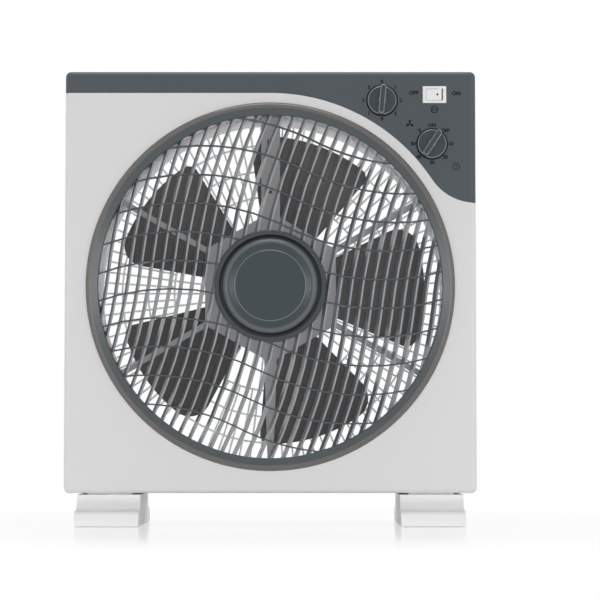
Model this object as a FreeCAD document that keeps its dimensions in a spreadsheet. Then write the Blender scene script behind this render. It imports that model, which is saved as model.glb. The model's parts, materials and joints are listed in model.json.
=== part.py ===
import FreeCAD, Part
import math
import os
from types import SimpleNamespace

import Sketcher
from FreeCAD import Placement, Rotation, Vector

# A box fan that stands on two feet. Millimetres and degrees, +Z up, the front faces -Y, and +X is to the
# right as seen from the front. The origin is on the floor under the middle of the feet, and the two halves
# of the case meet in the plane y = 0.

SIZES = {
    # case
    "louver_radius": 165,
    "side_margin": 19,
    "base_margin": 19.5,
    "front_depth": 60,
    "wall": 2.5,
    "blind_floor": 0.8,
    "edge_radius": 5,
    "duct_wall": 2.5,
    "lip_cover": 1.4,
    "collar_room": 4.4,
    "duct_step": 6.5,
    "duct_flare": 5.5,
    "ledge_thickness": 2.5,
    "boss_inset": 13,
    "boss_low": 17,
    "boss_drop": 8.8,
    "boss_radius": 5.5,
    "case_screw_length": 20,
    "case_screw_seat": 8,
    # control panel
    "panel_rim": 8.75,
    "panel_band": 19.35,
    "panel_lobe": 46.8,
    "panel_wall": 2,
    "panel_seam": 0.2,
    "panel_lap": 1.2,
    # feet
    "foot_height": 28.5,
    "foot_width": 56.5,
    "foot_inset": 11.8,
    "toe_reach": 28,
    "toe_height": 13,
    "toe_edge": 1,
    "block_inset": 6,
    "foot_gap": 1.4,
    "foot_wall": 3,
    "foot_boss_height": 14,
    "foot_boss_radius": 5,
    "seat_inset": 8,
    "foot_pad_length": 84,
    "foot_screw_spread": 60,
    "foot_screw_bite": 9.8,
    # louver wheel
    "louver_gap": 1,
    "louver_proud": 5,
    "louver_depth": 15,
    "rim_width": 11.5,
    "rim_fall": 2,
    "rim_groove": 0.8,
    "pattern_x": 6,
    "pattern_z": 1.6,
    "slat_pitch": 9.75,
    "slat_shift": -3.7,
    "slat_thickness": 1.6,
    "slat_tilt": 14,
    "slat_heading": 83.5,
    "slat_bend": 465,
    "rib_pitch": 25.7,
    "rib_thickness": 1.4,
    "rib_depth": 4,
    "rib_heading": -27,
    "rib_bend": 200,
    "hub_radius": 50,
    "hub_wall": 4.1,
    "hub_proud": 3,
    "hub_plate": 2,
    "hub_boss_radius": 8,
    "hub_boss_length": 12,
    "cap_gap": 3.1,
    "cap_flat": 31.3,
    "cap_proud": 12,
    "cap_wall": 2.2,
    "cap_rise": 2,
    "cap_rounding": 6,
    "cap_step": 0.6,
    # louver carrier and its motor
    "louver_clear": 2,
    "spider_thickness": 3.5,
    "spider_plate": 68,
    "arm_width": 5,
    "arm_depth": 7,
    "arm_gap": 1,
    "spider_rim": 11.5,
    "channel_width": 17,
    "channel_groove": 12,
    "channel_floor": 2.5,
    "slot_width": 1.3,
    "slot_length": 8,
    "slot_side": 1.7,
    "slot_rise": 129.8,
    "sight_hole": 1.5,
    "sight_rise": 86,
    "low_arm_root": 14,
    "louver_can_radius": 26,
    "motor_nose": 8.6,
    "louver_can_length": 18.5,
    "cup_depth": 12,
    "cup_wall": 2.5,
    "ear_reach": 33,
    "ear_margin": 3.2,
    "ear_thickness": 2,
    "louver_shaft_radius": 3,
    "louver_shaft_grip": 8.5,
    "louver_screw_length": 9,
    # fan
    "tip_gap": 20.5,
    "blade_count": 5,
    "blade_span": 48.5,
    "blade_turn": 1.75,
    "blade_camber": 0.1,
    "blade_thickness": 2.2,
    "blade_pitch_root": 38,
    "blade_pitch_tip": 15.7,
    "lead_corner": 9,
    "trail_corner": 20,
    "nut_clear": 2.5,
    "nut_length": 7.5,
    "nut_radius": 11,
    "fan_hub_radius": 26,
    "fan_hub_length": 25,
    "fan_hub_wall": 2.5,
    "fan_boss_radius": 9,
    # motor
    "motor_gap": 3,
    "motor_length": 37,
    "motor_radius": 45,
    "motor_wall": 2,
    "motor_shaft_radius": 4,
    "bush_radius": 8,
    "bush_length": 8,
    "bush_housing": 3,
    "core_length": 16,
    "core_bore": 27,
    "air_gap": 0.6,
    "winding_length": 5.5,
    "motor_screw_circle": 34,
    # rear guard
    "grille_thickness": 3.5,
    "grille_lip": 5.4,
    "grille_rim": 3,
    "grille_hub": 55,
    "grille_rings": 3,
    "grille_ring_step": 24.4,
    "grille_edge": 18.4,
    "grille_bar": 1.6,
    "grille_bars": 96,
    # carry grip in the rear shell
    "grip_width": 112,
    "grip_depth": 30,
    "grip_rounding": 1.5,
    "grip_cover": 7,
    # controls
    "speed_heading": 59.03,
    "speed_angle": 5.4,
    "timer_heading": 41.39,
    "timer_angle": 33,
    "knob_radius": 13.2,
    "knob_skirt": 2.6,
    "knob_height": 12.5,
    "knob_cover": 3,
    "knob_rounding": 1.2,
    "knob_grip": 5.4,
    "knob_lift": 0.4,
    "dial_shaft_radius": 3,
    "dial_bush_wall": 1.5,
    "dial_shaft_grip": 16,
    "dial_room": 0.55,
    "speed_switch_size": 26.9,
    "speed_switch_depth": 20,
    "timer_radius": 17.5,
    "timer_depth": 24,
    "switch_inset": 36.9,
    "switch_drop": 21.2,
    "switch_width": 21,
    "switch_height": 15,
    "switch_flange": 1.6,
    "switch_lip": 1.2,
    "switch_depth": 18,
    "rocker_width": 13.4,
    "rocker_height": 10,
    "rocker_axis_depth": 3,
    "rocker_bulge": 0.6,
    "rocker_depth": 3,
    "rocker_rise": 5.5,
    "rocker_dish": 1.4,
    "rocker_swing": 8,
    "rocker_pin": 0.9,
    # small parts
    "capacitor_width": 38,
    "capacitor_height": 28,
    "capacitor_depth": 16,
    "capacitor_lug": 10,
    "capacitor_inset": 50,
    "capacitor_rise": 24,
    "cord_inset": 65,
    "cord_rise": 22,
    "cord_bore": 3.6,
    "cord_hole": 6,
    "screw_shank": 1.6,
    "screw_head": 3.8,
    "screw_head_height": 2.4,
    "small_shank": 1.4,
    "small_head": 2.6,
    "small_head_height": 1,
    # fits
    "screw_clearance": 0.05,
    "through_clearance": 0.4,
    "shaft_clearance": 0.04,
    "seat_clearance": 0.3,
    "moving_clearance": 0.4,
}

doc = FreeCAD.newDocument("box_fan")
sheet = doc.addObject("Spreadsheet::Sheet", "sizes")
for row, (name, value) in enumerate(SIZES.items(), start=1):
    sheet.set(f"A{row}", name)
    sheet.set(f"B{row}", str(value))
    sheet.setAlias(f"B{row}", name)
doc.recompute()


class Size:
    """A length or angle that carries its number and the sheet formula that it comes from."""

    def __init__(self, number, formula):
        self.number = number
        self.formula = formula

    def __add__(self, other):
        return joined(self, "+", other, self.number + number_of(other))

    def __radd__(self, other):
        return joined(other, "+", self, number_of(other) + self.number)

    def __sub__(self, other):
        return joined(self, "-", other, self.number - number_of(other))

    def __rsub__(self, other):
        return joined(other, "-", self, number_of(other) - self.number)

    def __mul__(self, other):
        return joined(self, "*", other, self.number * number_of(other))

    def __rmul__(self, other):
        return joined(other, "*", self, number_of(other) * self.number)

    def __truediv__(self, other):
        return joined(self, "/", other, self.number / number_of(other))

    def __neg__(self):
        return Size(-self.number, f"(0 - {self.formula})")

    def __float__(self):
        return float(self.number)


def number_of(value):
    return float(value)


def formula_of(value):
    return value.formula if isinstance(value, Size) else f"({float(value)})"


def joined(left, sign, right, number):
    return Size(number, f"({formula_of(left)} {sign} {formula_of(right)})")


def root(value):
    return Size(math.sqrt(value.number), f"sqrt({value.formula})")


def polar(reach, heading):
    """The place at a distance from the fan axis, in a direction counted from the right."""
    angle = math.radians(heading.number)
    across = Size(math.cos(angle), f"cos({heading.formula})")
    up = Size(math.sin(angle), f"sin({heading.formula})")
    return reach * across, reach * up


def bind(thing, name, value):
    """Bind a property of a document object to the sheet."""
    thing.setExpression(name, formula_of(value))


s = SimpleNamespace(**{name: Size(float(sheet.get(name)), f"sizes.{name}") for name in SIZES})
zero = Size(0.0, "0")

# Places that several pieces share. Heights are measured from the fan axis, depths from the split of the case.
half_width = s.louver_radius + s.side_margin
low = -(s.louver_radius + s.base_margin)
panel_arc = s.louver_radius + s.panel_rim
high = panel_arc + s.panel_band
axis_height = s.foot_height - low
front = -s.front_depth
panel_back = front + s.panel_wall
opening_radius = s.louver_radius - s.lip_cover
collar_radius = opening_radius + s.collar_room
collar_outside = collar_radius + s.duct_wall
duct_radius = collar_radius - s.duct_step
duct_outside = duct_radius + s.duct_wall
flange_radius = panel_arc + s.panel_lap
lobe_span = panel_arc + s.panel_lobe
lobe_height = root(lobe_span * lobe_span - half_width * half_width)
louver_back = front + s.louver_depth
spider_front = louver_back + s.louver_clear
spider_seat = spider_front + s.spider_thickness
ledge_screw_circle = (duct_radius + collar_radius) / 2
cup_radius = s.louver_can_radius + s.seat_clearance
cup_back = spider_seat + s.cup_depth
ear_hole_x = s.ear_reach - s.ear_margin
louver_bore = s.louver_shaft_radius + s.shaft_clearance
louver_shaft_end = spider_seat + s.louver_shaft_grip
louver_can_back = spider_seat + s.louver_can_length
hub_boss_front = louver_back - s.hub_boss_length
nut_front = louver_can_back + s.nut_clear
fan_front = nut_front + s.nut_length
fan_back = fan_front + s.fan_hub_length
fan_bore = s.motor_shaft_radius + s.shaft_clearance
motor_front = fan_back + s.motor_gap
motor_back = motor_front + s.motor_length
motor_split = (motor_front + motor_back) / 2
grille_back = motor_back + s.grille_thickness
flare_radius = duct_radius + s.duct_flare
flare_outside = flare_radius + s.duct_wall
grille_mouth = flare_radius - s.grille_lip
grille_screw_circle = (flare_radius + grille_mouth) / 2
rear_inside = grille_back
rear = rear_inside + s.wall
boss_places = [
    (side * (half_width - s.boss_inset), height)
    for side in (-1, 1)
    for height in (low + s.boss_low, lobe_height - s.panel_lobe - s.boss_drop)
]
foot_x = half_width - s.foot_inset - s.foot_width / 2
foot_top = s.foot_height - s.foot_gap
foot_roof = foot_top - s.foot_wall
foot_screw_y = s.foot_screw_spread / 2
knob_back = front - s.knob_lift
knob_bore_end = knob_back - s.knob_height + s.knob_cover
dial_bore = s.dial_shaft_radius + s.shaft_clearance
dial_bush = s.dial_shaft_radius + s.dial_bush_wall
dial_shaft_end = front + s.dial_shaft_grip
speed_place = polar(flange_radius + s.speed_switch_size * math.sqrt(0.5) + s.dial_room, s.speed_heading)
timer_place = polar(flange_radius + s.timer_radius + s.dial_room, s.timer_heading)
rocker_axis = front + s.rocker_axis_depth
tapped = s.screw_shank + s.screw_clearance
through = s.screw_shank + s.through_clearance
small_tapped = s.small_shank + s.screw_clearance
small_through = s.small_shank + s.through_clearance
capacitor_x = s.capacitor_inset - half_width
capacitor_height = low + s.capacitor_rise
capacitor_lug_x = s.capacitor_width / 2 + s.capacitor_lug / 2
ABOUT_FAN_AXIS = Vector(0, 1, 0)

sub_parts = []


def kept(thing, label, x=0, y=0, z=axis_height):
    """Name and place a finished sub-part."""
    thing.Label = label
    for axis, value in zip("xyz", (x, y, z)):
        bind(thing, f"Placement.Base.{axis}", value)
    sub_parts.append(thing)
    return thing


def turn(thing, axis, angle):
    thing.Placement = Placement(Vector(), Rotation(axis, number_of(angle)))
    bind(thing, "Placement.Rotation.Angle", angle)


# Sketching and part design helpers


def new_body(name):
    return doc.addObject("PartDesign::Body", name)


def plane_sketch(body, role, name, shift=0):
    """A sketch on one of the body's own origin planes, moved along the plane's normal."""
    plane = next(each for each in body.Origin.OriginFeatures if each.Role == role)
    sketch = body.newObject("Sketcher::SketchObject", name)
    sketch.AttachmentSupport = (plane, [""])
    sketch.MapMode = "FlatFace"
    bind(sketch, "AttachmentOffset.Base.z", shift)
    return sketch


def front_sketch(body, name, y=zero):
    """A sketch seen from the front, x to the right and z up, at the depth y."""
    return plane_sketch(body, "XZ_Plane", name, -y)


def fix(sketch, curve, end, x, y):
    """Hold one point of a sketch at x and y."""
    for kind, axis, value in (("DistanceX", -2, x), ("DistanceY", -1, y)):
        if abs(number_of(value)) < 1e-9:
            sketch.addConstraint(Sketcher.Constraint("PointOnObject", curve, end, axis))
        else:
            row = sketch.addConstraint(Sketcher.Constraint(kind, -1, 1, curve, end, number_of(value)))
            sketch.setExpression(f"Constraints[{row}]", formula_of(value))


def hold_radius(sketch, curve, radius):
    row = sketch.addConstraint(Sketcher.Constraint("Radius", curve, number_of(radius)))
    sketch.setExpression(f"Constraints[{row}]", formula_of(radius))


def circle(sketch, x, y, radius):
    centre = Vector(number_of(x), number_of(y), 0)
    curve = sketch.addGeometry(Part.Circle(centre, Vector(0, 0, 1), number_of(radius)))
    fix(sketch, curve, 3, x, y)
    hold_radius(sketch, curve, radius)


def circles(sketch, places, radius):
    for x, y in places:
        circle(sketch, x, y, radius)
    return sketch


def ring_of(count, radius, start=0):
    """Places evenly spaced on a circle, from a start angle."""
    angles = [math.radians(start + 360 / count * number) for number in range(count)]
    return [(radius * round(math.cos(angle), 9), radius * round(math.sin(angle), 9)) for angle in angles]


class Bend:
    """An arc between two points of an outline: its centre, its radius and which way it turns."""

    def __init__(self, x, y, radius, left):
        self.centre = Vector(number_of(x), number_of(y), 0)
        self.radius = radius
        self.left = left


def outline(sketch, steps):
    """A closed outline of points, with a Bend between two points that an arc joins."""
    points = []
    bends = {}
    for step in steps:
        if isinstance(step, Bend):
            bends[len(points) - 1] = step
        else:
            points.append(step)
    flat = [Vector(number_of(x), number_of(y), 0) for x, y in points]
    starts = []
    ends = []
    for number, here in enumerate(flat):
        there = flat[(number + 1) % len(flat)]
        bend = bends.get(number)
        if bend is None:
            curve = sketch.addGeometry(Part.LineSegment(here, there))
            starts.append((curve, 1))
            ends.append((curve, 2))
            continue
        first, last = (here, there) if bend.left else (there, here)
        angles = [math.atan2(*reversed((point - bend.centre)[:2])) for point in (first, last)]
        whole = Part.Circle(bend.centre, Vector(0, 0, 1), number_of(bend.radius))
        curve = sketch.addGeometry(Part.ArcOfCircle(whole, *angles))
        starts.append((curve, 1 if bend.left else 2))
        ends.append((curve, 2 if bend.left else 1))
        hold_radius(sketch, curve, bend.radius)
    for number, (x, y) in enumerate(points):
        sketch.addConstraint(Sketcher.Constraint("Coincident", *ends[number - 1], *starts[number]))
        fix(sketch, *starts[number], x, y)
    return sketch


def rectangle(sketch, left, bottom, right, up):
    return outline(sketch, [(left, bottom), (right, bottom), (right, up), (left, up)])


def centred_rectangle(sketch, width, height):
    return rectangle(sketch, -(width / 2), -(height / 2), width / 2, height / 2)


def volume_of(body):
    doc.recompute()
    return 0.0 if body.Shape.isNull() else body.Shape.Volume


def feature(body, kind, name, sketch, grows, sizes, reverse):
    """Add a feature, and make sure that it adds or removes material as it should."""
    before = volume_of(body)
    added = body.newObject(f"PartDesign::{kind}", name)
    added.Profile = sketch
    added.Reversed = reverse
    for key, value in sizes.items():
        bind(added, key, value)
    if kind == "Revolution":
        added.ReferenceAxis = (sketch, ["H_Axis"])
    change = volume_of(body) - before
    if change == 0 or (change > 0) != grows:
        raise RuntimeError(f"{body.Name}.{name} changed the volume by {change}")
    return added


def pad(body, name, sketch, length, reverse=False):
    """Grow a sketch towards the front, up or right, or the other way when reversed."""
    return feature(body, "Pad", name, sketch, True, {"Length": length}, reverse)


def pocket(body, name, sketch, depth, reverse=False):
    """Cut a sketch towards the back, down or left, or the other way when reversed."""
    return feature(body, "Pocket", name, sketch, False, {"Length": depth}, reverse)


def revolve(body, name, points):
    """Turn a profile of (y, radius) points round the body's own Y axis."""
    sketch = outline(plane_sketch(body, "YZ_Plane", f"{name}_profile"), points)
    return feature(body, "Revolution", name, sketch, True, {"Angle": 360}, False)


def round_edges(body, name, radius, chosen):
    """Round the edges of the body's newest feature whose two ends pass a test."""
    doc.recompute()
    last = body.Tip
    names = []
    for number, edge in enumerate(last.Shape.Edges, start=1):
        ends = [vertex.Point for vertex in edge.Vertexes]
        if len(ends) == 2 and chosen(ends):
            names.append(f"Edge{number}")
    rounding = body.newObject("PartDesign::Fillet", name)
    rounding.Base = (last, names)
    bind(rounding, "Radius", radius)
    doc.recompute()
    return rounding


def all_at(ends, axis, value):
    return all(abs(getattr(point, axis) - number_of(value)) < 1e-4 for point in ends)


def on_side(ends):
    return all_at(ends, "x", half_width) or all_at(ends, "x", -half_width)


def turned(label, points, x=0, z=axis_height):
    """A sub-part that is one profile turned round an axis along Y."""
    body = new_body(label)
    revolve(body, "turning", points)
    return kept(body, label, x=x, z=z)


def shape_part(label, shape):
    """A sub-part whose shape is worked out here, drawn round the fan axis."""
    part = doc.addObject("Part::Feature", label)
    part.Shape = shape
    part.Placement = Placement(Vector(0, 0, number_of(axis_height)), Rotation())
    return kept(part, label)


def screws(label, seats, direction, shank, length, head, head_height):
    """A group of equal screws: seats are the points under their heads."""
    solids = []
    for seat in seats:
        start = Vector(*(number_of(value) for value in seat))
        rod = Part.makeCylinder(number_of(shank), number_of(length), start, direction)
        cap = Part.makeCylinder(number_of(head), number_of(head_height), start, direction * -1)
        solids.append(rod.fuse(cap).removeSplitter())
    return shape_part(label, Part.makeCompound(solids))


# Case


def panel_edge(gap):
    """The lower edge of the control panel from left to right, kept back by a gap."""
    arc = panel_arc - gap
    lobe = s.panel_lobe + gap
    share = arc / lobe_span
    return [
        (-half_width, arc),
        (zero, arc),
        Bend(0, 0, arc, left=False),
        (half_width * share, lobe_height * share),
        Bend(half_width, lobe_height, lobe, left=True),
        (half_width, lobe_height - lobe),
    ]


def foot_bosses(body, y):
    """Bosses that the foot screws bite into, on the floor of a shell."""
    places = [(-foot_x, y), (foot_x, y)]
    boss = plane_sketch(body, "XY_Plane", "foot_boss_shape", low + s.wall / 2)
    circles(boss, places, s.foot_boss_radius)
    pad(body, "foot_bosses", boss, s.foot_boss_height)
    hole = circles(plane_sketch(body, "XY_Plane", "foot_hole_shape", low), places, tapped)
    pocket(body, "foot_holes", hole, s.foot_boss_height, reverse=True)


def build_front_shell():
    body = new_body("front_shell")
    shape = front_sketch(body, "outline")
    outline(shape, panel_edge(s.panel_seam) + [(half_width, low), (-half_width, low)])
    pad(body, "block", shape, s.front_depth)

    def outer(ends):
        on_front = all_at(ends, "y", front)
        on_floor = all_at(ends, "z", low)
        return [on_front, on_floor, on_side(ends)].count(True) == 2

    round_edges(body, "edges", s.edge_radius, outer)
    inside = front_sketch(body, "inside")
    rectangle(inside, s.wall - half_width, low + s.wall, half_width - s.wall, high)
    pocket(body, "hollow", inside, s.front_depth - s.wall, reverse=True)
    mouth = circles(front_sketch(body, "mouth", front), [(zero, zero)], opening_radius)
    pocket(body, "opening", mouth, s.wall)
    in_wall = front + s.wall / 2
    pad(body, "bosses", circles(front_sketch(body, "boss_shape"), boss_places, s.boss_radius), -in_wall)
    pilots = circles(front_sketch(body, "pilot_shape"), boss_places, tapped)
    pocket(body, "pilots", pilots, s.case_screw_length, reverse=True)
    foot_bosses(body, -foot_screw_y)
    return kept(body, "front_shell")


def build_air_duct():
    """The ring round the blades, clamped between the front wall and the rear shell.

    Its flange backs the seam of the control panel, and its ledge carries the louver spider.
    """
    body = new_body("air_duct")
    wall_back = front + s.wall
    flange_back = wall_back + s.duct_wall
    ledge_back = spider_seat + s.ledge_thickness
    revolve(body, "ring", [
        (wall_back, collar_radius),
        (spider_seat, collar_radius),
        (spider_seat, duct_radius),
        (zero, duct_radius),
        (zero, duct_outside),
        (ledge_back, duct_outside),
        (ledge_back, collar_outside),
        (flange_back, collar_outside),
        (flange_back, flange_radius),
        (wall_back, flange_radius),
    ])
    screw_places = ring_of(6, ledge_screw_circle)
    holes = circles(front_sketch(body, "ledge_shape", spider_seat), screw_places, small_tapped)
    pocket(body, "ledge_holes", holes, s.ledge_thickness)
    return kept(body, "air_duct")


def build_control_panel():
    body = new_body("control_panel")
    shape = front_sketch(body, "outline")
    outline(shape, panel_edge(zero) + [(half_width, high), (-half_width, high)])
    pad(body, "block", shape, s.front_depth)

    def outer(ends):
        on_front = all_at(ends, "y", front)
        on_top = all_at(ends, "z", high)
        return [on_front, on_top, on_side(ends)].count(True) == 2

    round_edges(body, "edges", s.edge_radius, outer)
    inside = front_sketch(body, "inside")
    below = lobe_height - s.panel_lobe - s.wall
    rectangle(inside, s.wall - half_width, below, half_width - s.wall, high - s.wall)
    pocket(body, "hollow", inside, s.front_depth - s.panel_wall, reverse=True)
    dials = [speed_place, timer_place]
    holes = circles(front_sketch(body, "hole_shape", front), dials, dial_bush + s.seat_clearance)
    pocket(body, "dial_holes", holes, s.panel_wall)
    cut = front_sketch(body, "switch_shape", front)
    x = half_width - s.switch_inset
    z = high - s.switch_drop
    across = s.switch_width / 2 - s.switch_lip + s.seat_clearance
    up = s.switch_height / 2 - s.switch_lip + s.seat_clearance
    rectangle(cut, x - across, z - up, x + across, z + up)
    pocket(body, "switch_hole", cut, s.panel_wall)
    return kept(body, "control_panel")


def build_rear_shell():
    body = new_body("rear_shell")
    shape = front_sketch(body, "outline")
    rectangle(shape, -half_width, low, half_width, high)
    pad(body, "block", shape, rear, reverse=True)

    def outer(ends):
        on_rear = all_at(ends, "y", rear)
        on_end = all_at(ends, "z", low) or all_at(ends, "z", high)
        return [on_rear, on_end, on_side(ends)].count(True) == 2

    round_edges(body, "edges", s.edge_radius, outer)
    inside = front_sketch(body, "inside")
    rectangle(inside, s.wall - half_width, low + s.wall, half_width - s.wall, high - s.wall)
    pocket(body, "hollow", inside, rear_inside)
    mouth = circles(front_sketch(body, "mouth", rear), [(zero, zero)], grille_mouth)
    pocket(body, "opening", mouth, s.wall, reverse=True)
    in_wall = rear_inside + s.wall / 2
    revolve(body, "duct", [
        (zero, duct_radius),
        (motor_back, flare_radius),
        (in_wall, flare_radius),
        (in_wall, flare_outside),
        (motor_back, flare_outside),
        (zero, duct_outside),
    ])
    grip_top = high - s.grip_cover
    grip_bottom = flare_radius + s.seat_clearance + s.wall
    across = s.grip_width / 2
    block = front_sketch(body, "grip_block", in_wall)
    rectangle(block, -across - s.wall, grip_bottom - s.wall, across + s.wall, grip_top + s.wall)
    pad(body, "grip_walls", block, s.grip_depth + s.wall / 2)
    recess = front_sketch(body, "grip_shape", rear)
    rectangle(recess, -across, grip_bottom, across, grip_top)
    pocket(body, "grip", recess, s.grip_depth, reverse=True)

    def grip_mouth(ends):
        inside_x = all(abs(point.x) < number_of(across) + 1e-4 for point in ends)
        above = all(point.z > number_of(grip_bottom) - 1e-4 for point in ends)
        return inside_x and above and all_at(ends, "y", rear)

    round_edges(body, "grip_edges", s.grip_rounding, grip_mouth)
    bosses = circles(front_sketch(body, "boss_shape"), boss_places, s.boss_radius)
    pad(body, "bosses", bosses, in_wall, reverse=True)
    wells = circles(front_sketch(body, "well_shape", rear), boss_places, s.screw_head + s.through_clearance)
    pocket(body, "screw_wells", wells, rear - s.case_screw_seat, reverse=True)
    screw_holes = circles(front_sketch(body, "screw_shape"), boss_places, through)
    pocket(body, "screw_holes", screw_holes, s.case_screw_seat)
    lip_places = ring_of(6, grille_screw_circle, 30)
    lip_holes = circles(front_sketch(body, "lip_shape", rear), lip_places, small_through)
    pocket(body, "lip_holes", lip_holes, s.wall, reverse=True)
    cord_place = (half_width - s.cord_inset, low + s.cord_rise)
    cord = circles(front_sketch(body, "cord_shape", rear), [cord_place], s.cord_hole)
    pocket(body, "cord_hole", cord, s.wall, reverse=True)
    lug = circles(
        front_sketch(body, "lug_shape", rear_inside),
        [(capacitor_x + capacitor_lug_x, capacitor_height)],
        small_tapped,
    )
    pocket(body, "lug_hole", lug, s.wall - s.blind_floor)
    foot_bosses(body, foot_screw_y)
    return kept(body, "rear_shell")


def build_foot(label, side):
    """A hollow foot whose ends step down in a cove and a rounded toe."""
    body = new_body(label)
    reach = s.front_depth + s.toe_reach
    block = s.front_depth - s.block_inset
    cove = foot_top - s.toe_height
    toe = s.toe_height - s.toe_edge
    half = s.foot_width / 2
    profile = plane_sketch(body, "YZ_Plane", "profile", -half)
    outline(profile, [
        (-reach, zero),
        (reach, zero),
        (reach, s.toe_edge),
        Bend(reach - toe, s.toe_edge, toe, left=True),
        (reach - toe, s.toe_height),
        (block + cove, s.toe_height),
        Bend(block + cove, foot_top, cove, left=False),
        (block, foot_top),
        (-block, foot_top),
        Bend(-block - cove, foot_top, cove, left=False),
        (-block - cove, s.toe_height),
        (toe - reach, s.toe_height),
        Bend(toe - reach, s.toe_edge, toe, left=True),
        (-reach, s.toe_edge),
    ])
    pad(body, "block", profile, s.foot_width)
    seat = plane_sketch(body, "XY_Plane", "seat_shape", foot_top)
    pad(body, "seat", centred_rectangle(seat, s.foot_width - 2 * s.seat_inset, s.foot_pad_length), s.foot_gap)
    width = s.foot_width - 2 * s.foot_wall
    toe_room = plane_sketch(body, "XY_Plane", "toe_room")
    pocket(
        body,
        "toe_hollow",
        centred_rectangle(toe_room, width, 2 * (reach - toe + s.foot_wall)),
        s.toe_height - s.foot_wall - s.toe_edge,
        reverse=True,
    )
    room = plane_sketch(body, "XY_Plane", "block_room")
    centred_rectangle(room, width, 2 * (block - s.foot_wall))
    pocket(body, "block_hollow", room, foot_roof, reverse=True)
    holes = plane_sketch(body, "XY_Plane", "hole_shape", s.foot_height)
    circles(holes, [(zero, -foot_screw_y), (zero, foot_screw_y)], through)
    pocket(body, "screw_holes", holes, s.foot_wall + s.foot_gap)
    return kept(body, label, x=side * foot_x, z=zero)


# Louver wheel

# Each curved strip is made of this many flat pieces.
SLAT_PIECES = 10
RIB_PIECES = 14


def evenly(reach, pitch, shift):
    """Places one pitch apart along a line, as far as a reach to both sides."""
    count = math.ceil((reach + abs(shift)) / pitch)
    return [number * pitch + shift for number in range(-count, count + 1)]


def s_curve(start, heading, left, radius, along, aside=0.0):
    """A point of a curve of two equal arcs that meet in an S at a start point.

    along is the way gone along the curve, and aside the distance to the left of it.
    """
    ahead = Vector(math.cos(heading), 0, math.sin(heading))
    beside = Vector(-math.sin(heading), 0, math.cos(heading))
    way = left if along >= 0 else -left
    angle = abs(along) / radius
    centre = start + beside * (way * radius)
    forward = 1 if along >= 0 else -1
    spoke = beside * (-way * math.cos(angle)) + ahead * (forward * math.sin(angle))
    return centre + spoke * (radius - way * aside)


def way_to(test, limit):
    """The way along a curve at which a test first holds, by halving."""
    near = 0.0
    far = limit
    for _ in range(50):
        middle = (near + far) / 2
        if test(middle):
            far = middle
        else:
            near = middle
    return far


def s_strip(start, curve, end_radius, thickness, pieces):
    """A flat strip along an S curve, with both ends at a distance from the fan axis."""
    longest = math.pi * end_radius
    ends = [
        sign * way_to(lambda along: s_curve(start, *curve, sign * along).Length > end_radius, longest)
        for sign in (-1, 1)
    ]
    ways = [ends[0] + (ends[1] - ends[0]) * number / pieces for number in range(pieces + 1)]
    one_side = [s_curve(start, *curve, along, thickness / 2) for along in ways]
    other_side = [s_curve(start, *curve, along, -thickness / 2) for along in reversed(ways)]
    return Part.Face(Part.makePolygon(one_side + other_side + one_side[:1]))


def family(middle, places, guide, axis, curve, end_radius, thickness, pieces):
    """Equal strips that turn where they cross a guide curve, at places along an axis from its middle."""
    strips = []
    for place in places:
        sign = 1 if place >= 0 else -1
        along = way_to(
            lambda way: abs(getattr(s_curve(middle, *guide, sign * way) - middle, axis)) >= abs(place),
            math.pi * end_radius / 2,
        )
        start = s_curve(middle, *guide, sign * along)
        if start.Length < end_radius - thickness:
            strips.append(s_strip(start, curve, end_radius, thickness, pieces))
    return strips


def turned_shape(points):
    """A solid turned from a closed profile of (y, radius) points, arcs given by a middle point."""
    edges = []
    here = Vector(0, *(number_of(value) for value in points[0]))
    for step in points[1:] + points[:1]:
        there = Vector(0, *(number_of(value) for value in step[:2]))
        if len(step) == 4:
            middle = Vector(0, *(number_of(value) for value in step[2:]))
            edges.append(Part.Arc(here, middle, there).toShape())
        else:
            edges.append(Part.LineSegment(here, there).toShape())
        here = there
    return Part.Face(Part.Wire(edges)).revolve(Vector(), ABOUT_FAN_AXIS, 360)


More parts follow.
